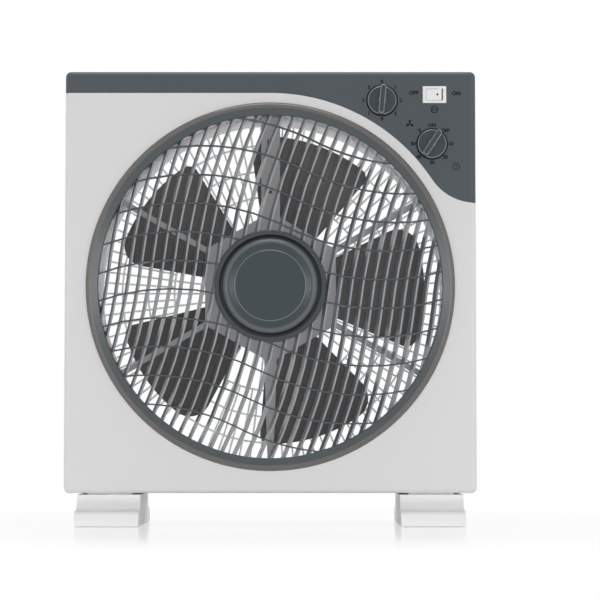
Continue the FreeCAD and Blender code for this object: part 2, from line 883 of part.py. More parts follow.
def build_louver_wheel():
    outside = s.louver_radius
    inside = outside - s.rim_width
    in_case = opening_radius - s.louver_gap
    lip = front - s.louver_proud
    bead = s.louver_proud - s.moving_clearance
    bead_middle = 1 - math.sqrt(0.5)
    rim = turned_shape([
        (louver_back, inside),
        (louver_back, in_case),
        (lip + bead, in_case),
        (lip + bead, outside),
        (lip, outside - bead, lip + bead * bead_middle, outside - bead * bead_middle),
        (lip + s.rim_groove, outside - bead),
        (lip + s.rim_groove + s.rim_fall, inside + s.rim_groove),
        (lip + 2 * s.rim_groove + s.rim_fall, inside),
    ])
    hub_inside = s.hub_radius - s.hub_wall
    hub_front = front - s.hub_proud
    plate_front = louver_back - s.hub_plate
    hub = turned_shape([
        (louver_back, louver_bore),
        (louver_back, s.hub_radius),
        (hub_front + s.rim_groove, s.hub_radius),
        (hub_front, s.hub_radius - s.rim_groove),
        (hub_front, hub_inside),
        (plate_front, hub_inside),
        (plate_front, s.hub_boss_radius),
        (hub_boss_front, s.hub_boss_radius),
        (hub_boss_front, louver_bore),
    ])
    slat_curve = (math.radians(number_of(s.slat_heading)), -1, number_of(s.slat_bend))
    rib_curve = (math.radians(number_of(s.rib_heading)), 1, number_of(s.rib_bend))
    middle = Vector(number_of(s.pattern_x), 0, number_of(s.pattern_z))
    end_radius = number_of((inside + in_case) / 2)
    slat_places = evenly(end_radius + middle.Length, number_of(s.slat_pitch), number_of(s.slat_shift))
    rib_places = evenly(end_radius + middle.Length, number_of(s.rib_pitch), 0.0)
    slats = family(
        middle, slat_places, rib_curve, "x", slat_curve, end_radius, number_of(s.slat_thickness), SLAT_PIECES
    )
    ribs = family(
        middle, rib_places, slat_curve, "z", rib_curve, end_radius, number_of(s.rib_thickness), RIB_PIECES
    )
    rib_back = number_of(front + s.rib_depth)
    slat_depth = number_of(louver_back) - rib_back
    lean = Vector(-slat_depth * math.tan(math.radians(number_of(s.slat_tilt))), slat_depth, 0)
    core_length = number_of(s.louver_depth + s.hub_proud)
    core = Part.makeCylinder(
        number_of(hub_inside + s.hub_wall / 2),
        core_length,
        Vector(0, number_of(hub_front), 0),
        ABOUT_FAN_AXIS,
    )
    bars = []
    for strip in ribs:
        strip.translate(Vector(0, number_of(front), 0))
        bars.append(strip.extrude(Vector(0, number_of(s.rib_depth), 0)))
    for strip in slats:
        strip.translate(Vector(0, rib_back, 0))
        bars.append(strip.extrude(lean))
    pieces = []
    for bar in bars:
        meets_hub = bar.distToShape(core)[0] < 1e-6
        pieces += bar.cut(core).Solids if meets_hub else [bar]
    shape_part("louver_wheel", rim.multiFuse([hub] + pieces))


def build_louver_cap():
    cap = s.hub_radius - s.hub_wall - s.cap_gap
    skirt_end = louver_back - s.hub_plate
    face = front - s.cap_proud
    shoulder = face + s.cap_rise + s.cap_rounding
    turned("louver_cap", [
        (skirt_end, cap - s.cap_wall),
        (skirt_end, cap),
        (shoulder, cap),
        Bend(shoulder, cap - s.cap_rounding, s.cap_rounding, left=True),
        (face + s.cap_rise, cap - s.cap_rounding),
        (face + s.cap_step, s.cap_flat),
        (face, s.cap_flat - s.cap_step),
        (face, zero),
        (face + s.cap_wall, zero),
        (face + s.cap_wall + s.cap_rise, cap - s.cap_rounding - s.cap_wall),
        (shoulder, cap - s.cap_wall),
    ])


# Louver carrier and its motor


def build_louver_spider():
    body = new_body("louver_spider")
    arm_back = spider_front + s.arm_depth
    arm_root = cup_radius + s.cup_wall / 2
    arm_end = duct_radius - s.arm_gap
    plate = front_sketch(body, "plate_shape", spider_seat)
    outline(plate, ring_of(6, s.spider_plate, 30))
    pad(body, "plate", plate, s.spider_thickness)
    arm_shape = front_sketch(body, "arm_shape", arm_back)
    rectangle(arm_shape, -(s.arm_width / 2), arm_root, s.arm_width / 2, arm_end)
    arm = pad(body, "arm", arm_shape, s.arm_depth)
    arms = body.newObject("PartDesign::PolarPattern", "arms")
    arms.Originals = [arm]
    arms.Axis = (arm_shape, ["N_Axis"])
    arms.Angle = 360
    arms.Occurrences = 6
    body.Tip = arms
    low_arm = front_sketch(body, "low_arm_shape", arm_back)
    outline(low_arm, [
        (-(s.arm_width / 2), -arm_end),
        (s.arm_width / 2, -arm_end),
        (s.low_arm_root / 2, -arm_root),
        (-(s.low_arm_root / 2), -arm_root),
    ])
    pad(body, "low_arm", low_arm, s.arm_depth)
    channel = front_sketch(body, "channel_shape", arm_back)
    rectangle(channel, -(s.channel_width / 2), arm_root, s.channel_width / 2, arm_end)
    pad(body, "channel_arm", channel, s.arm_depth)
    groove = front_sketch(body, "groove_shape", arm_back)
    half_groove = s.channel_groove / 2
    rectangle(groove, -half_groove, arm_root + s.cup_wall, half_groove, arm_end + s.arm_gap)
    pocket(body, "groove", groove, s.arm_depth - s.channel_floor, reverse=True)
    slot = front_sketch(body, "slot_shape", spider_front)
    half_slot = s.slot_length / 2
    slot_left = -s.slot_side - s.slot_width
    rectangle(slot, slot_left, s.slot_rise - half_slot, -s.slot_side, s.slot_rise + half_slot)
    pocket(body, "slot", slot, s.channel_floor)
    sight = circles(front_sketch(body, "sight_shape", spider_front), [(zero, s.sight_rise)], s.sight_hole)
    pocket(body, "sight", sight, s.channel_floor)
    ring_out = collar_radius - s.seat_clearance
    ring_in = ring_out - s.spider_rim
    revolve(body, "rim", [
        (spider_front, ring_in),
        (spider_seat, ring_in),
        (spider_seat, ring_out),
        (spider_front, ring_out),
    ])
    in_plate = spider_seat - s.spider_thickness / 2
    cup_out = cup_radius + s.cup_wall
    revolve(body, "cup", [
        (in_plate, cup_radius),
        (cup_back, cup_radius),
        (cup_back, cup_out),
        (in_plate, cup_out),
    ])
    ear_places = [(-ear_hole_x, zero), (ear_hole_x, zero)]
    posts = circles(front_sketch(body, "post_shape", cup_back), ear_places, s.ear_margin)
    pad(body, "posts", posts, cup_back - in_plate)
    pilots = circles(front_sketch(body, "pilot_shape", cup_back), ear_places, small_tapped)
    pocket(body, "post_holes", pilots, s.cup_depth / 2, reverse=True)
    middle = front_sketch(body, "middle_shape", spider_front)
    circles(middle, [(zero, zero)], s.motor_nose + s.seat_clearance)
    pocket(body, "middle_hole", middle, s.spider_thickness)
    screw_places = ring_of(6, ledge_screw_circle)
    holes = circles(front_sketch(body, "hole_shape", spider_front), screw_places, small_through)
    pocket(body, "rim_holes", holes, s.spider_thickness)
    return kept(body, "louver_spider")


def build_louver_motor():
    body = new_body("louver_motor")
    nose = spider_front + s.louver_gap
    bore_end = louver_shaft_end + s.moving_clearance
    can_front = spider_seat + s.seat_clearance
    revolve(body, "can", [
        (nose, louver_bore),
        (nose, s.motor_nose),
        (can_front, s.motor_nose),
        (can_front, s.louver_can_radius),
        (louver_can_back, s.louver_can_radius),
        (louver_can_back, zero),
        (bore_end, zero),
        (bore_end, louver_bore),
    ])
    ears = front_sketch(body, "ear_shape", cup_back)
    reach = ear_hole_x
    half = s.ear_margin
    outline(ears, [
        (-reach, -half),
        (reach, -half),
        Bend(reach, zero, half, left=True),
        (reach + half, zero),
        Bend(reach, zero, half, left=True),
        (reach, half),
        (-reach, half),
        Bend(-reach, zero, half, left=True),
        (-reach - half, zero),
        Bend(-reach, zero, half, left=True),
    ])
    pad(body, "ears", ears, s.ear_thickness, reverse=True)
    ear_places = [(-reach, zero), (reach, zero)]
    holes = circles(front_sketch(body, "ear_hole_shape", cup_back), ear_places, small_through)
    pocket(body, "ear_holes", holes, s.ear_thickness)
    return kept(body, "louver_motor")


def build_louver_drive():
    tap_end = hub_boss_front + s.louver_screw_length + s.moving_clearance
    turned("louver_shaft", [
        (hub_boss_front, small_tapped),
        (hub_boss_front, s.louver_shaft_radius),
        (louver_shaft_end, s.louver_shaft_radius),
        (louver_shaft_end, zero),
        (tap_end, zero),
        (tap_end, small_tapped),
    ])
    screws(
        "louver_screw",
        [(0, hub_boss_front, 0)],
        ABOUT_FAN_AXIS,
        s.small_shank,
        s.louver_screw_length,
        s.screw_head,
        s.screw_head_height,
    )
    ear_back = cup_back + s.ear_thickness
    screws(
        "louver_motor_screws",
        [(-ear_hole_x, ear_back, 0), (ear_hole_x, ear_back, 0)],
        ABOUT_FAN_AXIS * -1,
        s.small_shank,
        s.ear_thickness + s.cup_depth / 3,
        s.small_head,
        s.small_head_height,
    )
    screws(
        "spider_screws",
        [(x, spider_front, z) for x, z in ring_of(6, ledge_screw_circle)],
        ABOUT_FAN_AXIS,
        s.small_shank,
        s.spider_thickness + s.ledge_thickness,
        s.small_head,
        s.small_head_height,
    )


# Fan and motor

# Blades are cut from a slab that is larger than they are by this factor, laid through this many sections.
SLAB_SPARE = 1.08
SLAB_SECTIONS = 4


def blade_section(distance, pitch, middle_y, half_chord, thickness, camber):
    """A thin curved section in the plane x = distance, its leading edge down and to the back."""
    slope = math.radians(pitch)
    along = Vector(0, -math.sin(slope), math.cos(slope))
    across = Vector(0, math.cos(slope), math.sin(slope))
    centre = Vector(distance, middle_y, 0)
    sides = []
    for offset in (-thickness / 2, thickness / 2):
        shift = across * offset
        sides.append([
            centre - along * half_chord + shift,
            centre + across * camber + shift,
            centre + along * half_chord + shift,
        ])
    (first, first_middle, first_end), (last, last_middle, last_end) = sides
    return Part.Wire([
        Part.Arc(first, first_middle, first_end).toShape(),
        Part.LineSegment(first_end, last_end).toShape(),
        Part.Arc(last_end, last_middle, last).toShape(),
        Part.LineSegment(last, first).toShape(),
    ])


def blade_prism(inner, outer, half_angle, depth_from, depth):
    """The blade's outline as seen from the front, with its two tip corners rounded."""
    spokes = {}
    for side in (-1, 1):
        spoke = Vector(math.cos(half_angle), 0, side * math.sin(half_angle))
        spokes[side] = (spoke * inner, spoke * outer)
    edges = [
        Part.LineSegment(*spokes[-1]).toShape(),
        Part.Arc(spokes[-1][1], Vector(outer, 0, 0), spokes[1][1]).toShape(),
        Part.LineSegment(spokes[1][1], spokes[1][0]).toShape(),
        Part.LineSegment(spokes[1][0], spokes[-1][0]).toShape(),
    ]
    face = Part.Face(Part.Wire(edges))
    face.translate(Vector(0, depth_from, 0))
    prism = face.extrude(Vector(0, depth, 0))
    for side, radius in ((-1, s.lead_corner), (1, s.trail_corner)):
        corner = spokes[side][1]
        upright = [
            edge
            for edge in prism.Edges
            if all(math.hypot(v.X - corner.x, v.Z - corner.z) < 1e-6 for v in edge.Vertexes)
        ]
        prism = prism.makeFillet(number_of(radius), upright)
    return prism


def build_fan():
    hub_radius = number_of(s.fan_hub_radius)
    tip = number_of(duct_radius - s.tip_gap)
    half_angle = math.radians(number_of(s.blade_span) / 2)
    middle_y = number_of((fan_front + fan_back) / 2)
    hub_inside = s.fan_hub_radius - s.fan_hub_wall
    hub = turned_shape([
        (fan_front, fan_bore),
        (fan_front, s.fan_hub_radius),
        (fan_back, s.fan_hub_radius),
        (fan_back, hub_inside),
        (fan_front + s.fan_hub_wall, hub_inside),
        (fan_front + s.fan_hub_wall, s.fan_boss_radius),
        (fan_back, s.fan_boss_radius),
        (fan_back, fan_bore),
    ])
    root_radius = hub_radius - number_of(s.fan_hub_wall) / 2
    nearest = root_radius * math.cos(half_angle) / SLAB_SPARE
    farthest = tip * SLAB_SPARE
    sections = []
    for number in range(SLAB_SECTIONS):
        share = number / (SLAB_SECTIONS - 1)
        distance = nearest * (1 - share) + farthest * share
        pitch = number_of(s.blade_pitch_root) * (1 - share) + number_of(s.blade_pitch_tip) * share
        half_chord = SLAB_SPARE * distance * math.tan(half_angle) / math.cos(math.radians(pitch))
        camber = number_of(s.blade_camber) * half_chord
        sections.append(
            blade_section(distance, pitch, middle_y, half_chord, number_of(s.blade_thickness), camber)
        )
    slab = Part.makeLoft(sections, True, False)
    box = slab.BoundBox
    blade = slab.common(blade_prism(root_radius, tip, half_angle, box.YMin - 1, box.YLength + 2))
    count = int(number_of(s.blade_count))
    blades = []
    for number in range(count):
        copy = blade.copy()
        copy.rotate(Vector(), ABOUT_FAN_AXIS, 360 / count * number - number_of(s.blade_turn))
        blades.append(copy)
    shape_part("fan_impeller", hub.multiFuse(blades))
    nut_wall = s.fan_hub_wall / 2
    turned("blade_nut", [
        (nut_front, zero),
        (nut_front, s.nut_radius - nut_wall),
        (nut_front + nut_wall, s.nut_radius),
        (fan_front, s.nut_radius),
        (fan_front, fan_bore),
        (nut_front + nut_wall, fan_bore),
        (nut_front + nut_wall, zero),
    ])


def build_motor():
    shaft_front = nut_front + s.fan_hub_wall
    shaft_back = motor_back - s.motor_wall - s.moving_clearance
    radius = s.motor_shaft_radius
    turned("motor_shaft", [
        (shaft_front, zero),
        (shaft_front, radius),
        (shaft_back, radius),
        (shaft_back, zero),
    ])
    core_front = motor_split - s.core_length / 2
    core_back = motor_split + s.core_length / 2
    rotor = s.core_bore - s.air_gap
    turned("motor_rotor", [
        (core_front, fan_bore),
        (core_front, rotor),
        (core_back, rotor),
        (core_back, fan_bore),
    ])
    inside = s.motor_radius - s.motor_wall
    core = inside - s.seat_clearance
    turned("stator_core", [
        (core_front, s.core_bore),
        (core_front, core),
        (core_back, core),
        (core_back, s.core_bore),
    ])
    rings = []
    for start, way in ((core_front, -1), (core_back, 1)):
        end = start + way * s.winding_length
        rings.append(turned_shape([
            (start, s.core_bore + s.motor_wall),
            (start, core - s.motor_wall),
            (end, core - 2 * s.motor_wall),
            (end, s.core_bore + 2 * s.motor_wall),
        ]))
    shape_part("stator_winding", Part.makeCompound(rings))
    seat = s.bush_radius + s.shaft_clearance
    housing = seat + s.bush_housing
    bore = s.motor_shaft_radius + s.shaft_clearance
    front_end = motor_front + s.bush_length
    turned("front_bush", [
        (motor_front, bore),
        (motor_front, s.bush_radius),
        (front_end, s.bush_radius),
        (front_end, bore),
    ])
    front_wall = motor_front + s.motor_wall
    turned("motor_front_cap", [
        (motor_front, seat),
        (motor_front, s.motor_radius),
        (motor_split, s.motor_radius),
        (motor_split, inside),
        (front_wall, inside),
        (front_wall, housing),
        (front_end, housing),
        (front_end, seat),
    ])
    back_wall = motor_back - s.motor_wall
    back_end = back_wall - s.bush_length
    turned("rear_bush", [
        (back_end, bore),
        (back_end, s.bush_radius),
        (back_wall, s.bush_radius),
        (back_wall, bore),
    ])
    rear_cap = new_body("motor_rear_cap")
    revolve(rear_cap, "shell", [
        (motor_back, zero),
        (motor_back, s.motor_radius),
        (motor_split, s.motor_radius),
        (motor_split, inside),
        (back_wall, inside),
        (back_wall, housing),
        (back_end, housing),
        (back_end, seat),
        (back_wall, seat),
        (back_wall, zero),
    ])
    places = ring_of(4, s.motor_screw_circle, 45)
    holes = circles(front_sketch(rear_cap, "hole_shape", motor_back), places, tapped)
    pocket(rear_cap, "screw_holes", holes, s.motor_wall, reverse=True)
    kept(rear_cap, "motor_rear_cap")
    screws(
        "motor_screws",
        [(x, grille_back, z) for x, z in places],
        ABOUT_FAN_AXIS * -1,
        s.screw_shank,
        s.grille_thickness + s.motor_wall,
        s.screw_head,
        s.screw_head_height,
    )


# Rear guard


def guard_cell(inner, outer, middle, half_step, bar):
    """One gap between two radial bars, as a closed wire in the plane of the guard."""
    corners = []
    for radius, sides in ((inner, (-1, 1)), (outer, (1, -1))):
        for side in sides:
            angle = middle + side * (half_step - math.asin(bar / 2 / radius))
            corners.append(Vector(radius * math.cos(angle), 0, radius * math.sin(angle)))
    return Part.makePolygon(corners + corners[:1])


def ring_wire(radius, x=0.0, z=0.0):
    middle = Vector(number_of(x), 0, number_of(z))
    return Part.Wire(Part.makeCircle(number_of(radius), middle, ABOUT_FAN_AXIS))


def build_rear_grille():
    bar = number_of(s.grille_bar)
    outer_edge = number_of(grille_mouth - s.grille_rim)
    rings = [
        outer_edge - number_of(s.grille_edge + s.grille_ring_step * number)
        for number in reversed(range(int(number_of(s.grille_rings))))
    ]
    edges = [number_of(s.grille_hub)] + rings + [outer_edge]
    bars = int(number_of(s.grille_bars))
    holes = []
    for zone, (inner, outer) in enumerate(zip(edges, edges[1:])):
        count = bars if zone else bars // 2
        step = 2 * math.pi / count
        holes += [
            guard_cell(inner + bar / 2, outer - bar / 2, (number + 0.5) * step, step / 2, bar)
            for number in range(count)
        ]
    holes += [ring_wire(through, x, z) for x, z in ring_of(4, s.motor_screw_circle, 45)]
    holes += [ring_wire(small_tapped, x, z) for x, z in ring_of(6, grille_screw_circle, 30)]
    face = Part.Face([ring_wire(flare_radius - s.seat_clearance)] + holes, "Part::FaceMakerBullseye")
    face.translate(Vector(0, number_of(motor_back), 0))
    shape_part("rear_grille", face.extrude(Vector(0, number_of(s.grille_thickness), 0)))
    screws(
        "grille_screws",
        [(x, rear, z) for x, z in ring_of(6, grille_screw_circle, 30)],
        ABOUT_FAN_AXIS * -1,
        s.small_shank,
        s.wall + s.grille_thickness,
        s.small_head,
        s.small_head_height,
    )


# Controls


def build_control_unit(label, shape, depth, x, z):
    """A switch or clockwork behind the panel, with a bush that the dial's shaft turns in."""
    body = new_body(label)
    sketch = front_sketch(body, "case_shape", panel_back)
    if shape == "round":
        circle(sketch, zero, zero, s.timer_radius)
    else:
        centred_rectangle(sketch, s.speed_switch_size, s.speed_switch_size)
    pad(body, "case", sketch, depth, reverse=True)
    bush = circles(front_sketch(body, "bush_shape", panel_back), [(zero, zero)], dial_bush)
    pad(body, "bush", bush, s.panel_wall)
    bore = circles(front_sketch(body, "bore_shape", front), [(zero, zero)], dial_bore)
    pocket(body, "bore", bore, s.dial_shaft_grip + s.moving_clearance)
    return kept(body, label, x=x, z=axis_height + z)


def build_knob(label, x, z, angle):
    """A low round knob with a raised grip bar that points at the dial."""
    body = new_body(label)
    edge = s.knob_skirt / 2
    face = knob_back - s.knob_skirt
    revolve(body, "skirt", [
        (knob_back, zero),
        (knob_back, s.knob_radius),
        (face + edge, s.knob_radius),
        (face, s.knob_radius - edge),
        (face, zero),
    ])
    grip = front_sketch(body, "grip_shape", face + edge)
    half = s.knob_grip / 2
    reach = s.knob_radius - half
    outline(grip, [
        (half, -reach),
        (half, reach),
        Bend(zero, reach, half, left=True),
        (zero, reach + half),
        Bend(zero, reach, half, left=True),
        (-half, reach),
        (-half, -reach),
        Bend(zero, -reach, half, left=True),
        (zero, -reach - half),
        Bend(zero, -reach, half, left=True),
    ])
    pad(body, "grip", grip, s.knob_height - s.knob_skirt + edge)
    grip_front = knob_back - s.knob_height
    round_edges(body, "grip_edges", s.knob_rounding, lambda ends: all_at(ends, "y", grip_front))
    bore = circles(front_sketch(body, "bore_shape", knob_back), [(zero, zero)], dial_bore)
    pocket(body, "bore", bore, knob_back - knob_bore_end, reverse=True)
    turn(body, ABOUT_FAN_AXIS, angle)
    return kept(body, label, x=x, z=axis_height + z)


def build_dials():
    dials = (
        ("speed", "square", s.speed_switch_depth, speed_place, s.speed_angle, "speed_switch"),
        ("timer", "round", s.timer_depth, timer_place, s.timer_angle, "timer_unit"),
    )
    for name, shape, depth, (x, z), angle, unit in dials:
        build_control_unit(unit, shape, depth, x, z)
        build_knob(f"{name}_knob", x, z, angle)
        tip = knob_bore_end + s.moving_clearance
        radius = s.dial_shaft_radius
        turned(
            f"{name}_shaft",
            [(tip, zero), (tip, radius), (dial_shaft_end, radius), (dial_shaft_end, zero)],
            x=x,
            z=axis_height + z,
        )


def build_louver_switch():
    x = half_width - s.switch_inset
    z = axis_height + high - s.switch_drop
    frame = new_body("switch_frame")
    width = s.switch_width - 2 * s.switch_lip
    height = s.switch_height - 2 * s.switch_lip
    flange = front_sketch(frame, "flange_shape", front)
    pad(frame, "flange", centred_rectangle(flange, s.switch_width, s.switch_height), s.switch_flange)
    case = front_sketch(frame, "case_shape", front)
    pad(frame, "case", centred_rectangle(case, width, height), s.switch_depth, reverse=True)
    well = front_sketch(frame, "well_shape", front - s.switch_flange)
    room = 2 * (s.rocker_bulge + s.moving_clearance)
    centred_rectangle(well, s.rocker_width + room, s.rocker_height + 2 * s.seat_clearance)
    well_depth = s.switch_flange + s.rocker_axis_depth + s.rocker_depth + s.rocker_rise / 3
    pocket(frame, "well", well, well_depth)
    pin_hole = plane_sketch(frame, "XY_Plane", "pin_shape", height / 2)
    circle(pin_hole, zero, rocker_axis, s.rocker_pin + s.shaft_clearance)
    pocket(frame, "pin_holes", pin_hole, height)
    kept(frame, "switch_frame", x=x, z=z)
    rocker = new_body("louver_rocker")
    half = s.rocker_width / 2
    bottom = half - s.rocker_bulge
    shape = plane_sketch(rocker, "XY_Plane", "side_shape", -(s.rocker_height / 2))
    outline(shape, [
        (-half, -s.rocker_rise),
        (zero, s.rocker_dish - s.rocker_rise),
        (half, -s.rocker_rise),
        (half + s.rocker_bulge, zero),
        (bottom, s.rocker_depth),
        (-bottom, s.rocker_depth),
        (-half - s.rocker_bulge, zero),
    ])
    pad(rocker, "key", shape, s.rocker_height)
    pin_length = height - s.seat_clearance
    pin = plane_sketch(rocker, "XY_Plane", "pin_shape", -(pin_length / 2))
    circle(pin, zero, zero, s.rocker_pin)
    pad(rocker, "pins", pin, pin_length)
    turn(rocker, Vector(0, 0, 1), -s.rocker_swing)
    kept(rocker, "louver_rocker", x=x, y=rocker_axis, z=z)


# Small pieces inside


def build_capacitor():
    body = new_body("capacitor")
    case = front_sketch(body, "case_shape", rear_inside)
    pad(body, "case", centred_rectangle(case, s.capacitor_width, s.capacitor_height), s.capacitor_depth)
    corner = s.capacitor_width / 2
    round_edges(
        body, "edges", s.wall, lambda ends: all_at(ends, "x", corner) or all_at(ends, "x", -corner)
    )
    lug = front_sketch(body, "lug_shape", rear_inside)
    half = s.capacitor_lug / 2
    rectangle(lug, corner - s.wall, -half, corner + s.capacitor_lug, half)
    pad(body, "lug", lug, s.ear_thickness)
    hole = circles(front_sketch(body, "hole_shape", rear_inside), [(capacitor_lug_x, zero)], small_through)
    pocket(body, "lug_hole", hole, s.ear_thickness, reverse=True)
    kept(body, "capacitor", x=capacitor_x, z=axis_height + capacitor_height)
    screws(
        "capacitor_screw",
        [(capacitor_x + capacitor_lug_x, rear_inside - s.ear_thickness, capacitor_height)],
        ABOUT_FAN_AXIS,
        s.small_shank,
        s.ear_thickness + s.wall - s.blind_floor,
        s.small_head,
        s.small_head_height,
    )


def build_cord_inlet():
    neck = s.cord_hole - s.shaft_clearance
    inner_end = rear_inside - s.cord_hole
    turned(
        "cord_inlet",
        [
            (inner_end, s.cord_bore),
            (rear + s.wall, s.cord_bore),
            (rear + s.wall, s.cord_hole + s.wall),
            (rear, s.cord_hole + s.wall),
            (rear, neck),
            (inner_end, neck),
        ],
        x=half_width - s.cord_inset,
        z=axis_height + low + s.cord_rise,
    )


def build_case_screws():
    screws(
        "case_screws",
        [(x, s.case_screw_seat, z) for x, z in boss_places],
        ABOUT_FAN_AXIS * -1,
        s.screw_shank,
        s.case_screw_length,
        s.screw_head,
        s.screw_head_height,
    )
    seat = foot_roof - axis_height
    screws(
        "foot_screws",
        [(side * foot_x, y * foot_screw_y, seat) for side in (-1, 1) for y in (-1, 1)],
        Vector(0, 0, 1),
        s.screw_shank,
        s.foot_wall + s.foot_gap + s.foot_screw_bite,
        s.screw_head,
        s.screw_head_height,
    )


def check():
    """Stop if any object failed or any sub-part has no valid shape."""
    doc.recompute()
    for thing in doc.Objects:
        if "Invalid" in thing.State or "Error" in thing.State:
            raise RuntimeError(f"{thing.Label} failed: {thing.State}")
    for part in sub_parts:
        if part.Shape.isNull() or not part.Shape.isValid():
            raise RuntimeError(f"{part.Label} has no valid shape")


build_front_shell()
build_air_duct()
build_control_panel()
build_rear_shell()
build_foot("foot_left", -1)
build_foot("foot_right", 1)
build_louver_wheel()
build_louver_cap()
build_louver_spider()
build_louver_motor()
build_louver_drive()
build_fan()
build_motor()
build_rear_grille()
build_dials()
build_louver_switch()
build_capacitor()
build_cord_inlet()
build_case_screws()
check()
os.makedirs("parts", exist_ok=True)
for part in sub_parts:
    part.Shape.exportStep(f"parts/{part.Label}.step")
    print(part.Label, len(part.Shape.Solids), round(part.Shape.Volume))
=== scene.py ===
# %% [markdown]
# # A box fan with a rotating louver
#
# The fan is a square white case on two feet. A dark louver wheel turns slowly in its front and
# spreads the air that five dark blades push through it. The solid pieces come from a CAD model,
# which this script loads as a frame. Blender gives each of them its finish and adds what a CAD
# model leaves out: printed dials, small signs and screws with a cross in their heads.

# %% Load the frame
import json
import math

import bpy
from mathutils import Matrix, Vector


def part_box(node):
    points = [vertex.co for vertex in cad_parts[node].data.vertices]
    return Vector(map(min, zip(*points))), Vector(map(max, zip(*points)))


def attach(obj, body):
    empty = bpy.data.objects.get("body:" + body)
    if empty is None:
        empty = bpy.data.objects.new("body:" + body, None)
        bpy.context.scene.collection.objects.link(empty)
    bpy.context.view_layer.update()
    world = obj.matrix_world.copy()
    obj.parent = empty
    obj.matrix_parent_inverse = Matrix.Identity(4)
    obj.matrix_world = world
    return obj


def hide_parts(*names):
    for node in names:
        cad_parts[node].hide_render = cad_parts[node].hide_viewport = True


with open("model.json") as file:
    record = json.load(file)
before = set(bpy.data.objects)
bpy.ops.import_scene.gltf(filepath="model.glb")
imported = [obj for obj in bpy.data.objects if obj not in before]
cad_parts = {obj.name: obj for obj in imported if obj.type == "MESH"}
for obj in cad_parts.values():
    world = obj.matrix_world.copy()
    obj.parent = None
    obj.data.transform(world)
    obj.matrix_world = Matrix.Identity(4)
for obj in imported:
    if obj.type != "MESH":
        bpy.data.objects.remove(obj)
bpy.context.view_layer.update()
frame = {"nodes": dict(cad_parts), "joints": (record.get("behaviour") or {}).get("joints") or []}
nodes = frame["nodes"]
mm = 0.001
panel_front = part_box("control_panel")[0].y
print("loaded", len(nodes), "pieces, case front at", round(panel_front, 4))

# %% [markdown]
# ## The photographer's place
#
# The picture was taken from a little more than two metres away with a long lens. The camera stands
# low, a little above the case's lower edge, and looks up a little, so the sides of the case lean
# together towards the top by only a few pixels. A focal length in pixels is easy to compare with a
# photograph, and Blender's lens follows from it.

# %% Camera
photo_side = 600
focal_pixels = 2468
sensor_width = 36.0
camera_distance = 2.2
camera_height = 0.0755
aim_height = 0.2005
aim_side = 0.0265

bpy.ops.object.select_all(action="DESELECT")
bpy.ops.object.camera_add(location=(aim_side, panel_front - camera_distance, camera_height))
camera = bpy.context.object
camera.name = "photo_camera"
camera.data.sensor_width = sensor_width
camera.data.lens = focal_pixels * sensor_width / photo_side
climb = math.atan2(aim_height - camera_height, camera_distance)
camera.rotation_euler = (math.radians(90) + climb, 0, 0)
bpy.context.scene.camera = camera
bpy.context.scene.view_settings.view_transform = "Standard"
print("lens", round(camera.data.lens, 1), "mm")

# %% [markdown]
# ## Arithmetic on sockets
#
# A shader is easier to read as a formula than as a wiring diagram. This small class wraps one
# output socket. Python's operators on it add Math nodes, and `add_node` adds any other node in one
# line.


# %% Signal class
edge_blur = 0.3 * mm


class Signal:
    """One output socket of a shader tree, on which Python's arithmetic works."""

    def __init__(self, tree, socket):
        self.tree = tree
        self.socket = socket

    def add_node(self, kind, settings, inputs, output=0):
        """Add a node: its settings first, then a value or a link for each named input."""
        node = self.tree.nodes.new(kind)
        for name, value in settings.items():
            setattr(node, name, value)
        for name, value in inputs.items():
            connect(self.tree, value, node.inputs[name])
        return Signal(self.tree, node.outputs[output])

    def math(self, operation, first, second):
        return self.add_node("ShaderNodeMath", {"operation": operation}, {0: first, 1: second})

    def __add__(self, other):
        return self.math("ADD", self, other)

    def __radd__(self, other):
        return self.math("ADD", other, self)

    def __sub__(self, other):
        return self.math("SUBTRACT", self, other)

    def __rsub__(self, other):
        return self.math("SUBTRACT", other, self)

    def __mul__(self, other):
        return self.math("MULTIPLY", self, other)

    def __rmul__(self, other):
        return self.math("MULTIPLY", other, self)

    def noise(self, feature_size, detail):
        """Cloudy values round one half, with clouds of about a given size in metres."""
        return self.add_node(
            "ShaderNodeTexNoise", {}, {"Vector": self, "Scale": 1 / feature_size, "Detail": detail}
        )

    def cells(self, feature_size):
        """A patchwork of cells of about a given size, each with its own grey value."""
        return self.add_node(
            "ShaderNodeTexVoronoi", {}, {"Vector": self, "Scale": 1 / feature_size}, "Color"
        )

    def stretched(self, scale):
        """The same place with each axis scaled."""
        return self.add_node("ShaderNodeMapping", {}, {"Vector": self, "Scale": scale})

    def step(self, start, end):
        """0 below start, 1 above end and a smooth slope between them."""
        return self.add_node(
            "ShaderNodeMapRange",
            {"interpolation_type": "SMOOTHSTEP"},
            {"Value": self, "From Min": start, "From Max": end},
        )

    def between(self, start, end, blur=edge_blur):
        """1 between two distances, with soft ends outside them, and 0 elsewhere."""
        after_start = self.step(start - blur, start)
        before_end = 1 - self.step(end, end + blur)
        return after_start * before_end

    def blend(self, low_colour, high_colour):
        """A colour between two, with this value as the share of the second."""
        return self.add_node(
            "ShaderNodeMix", {"data_type": "RGBA"}, {0: self, 6: low_colour, 7: high_colour}, 2
        )

    def bump(self, height):
        """A normal from this value taken as a relief of a given height in metres."""
        return self.add_node("ShaderNodeBump", {}, {"Height": self, "Distance": height, "Strength": 1.0})


def connect(tree, value, socket):
    """Link a Signal to a socket, or set the socket to a plain value."""
    if isinstance(value, Signal):
        tree.links.new(value.socket, socket)
    else:
        socket.default_value = value


def shaded(colour, factor):
    """A colour made lighter or darker, with full alpha."""
    return tuple(channel * factor for channel in colour) + (1,)


print("signal class ready")

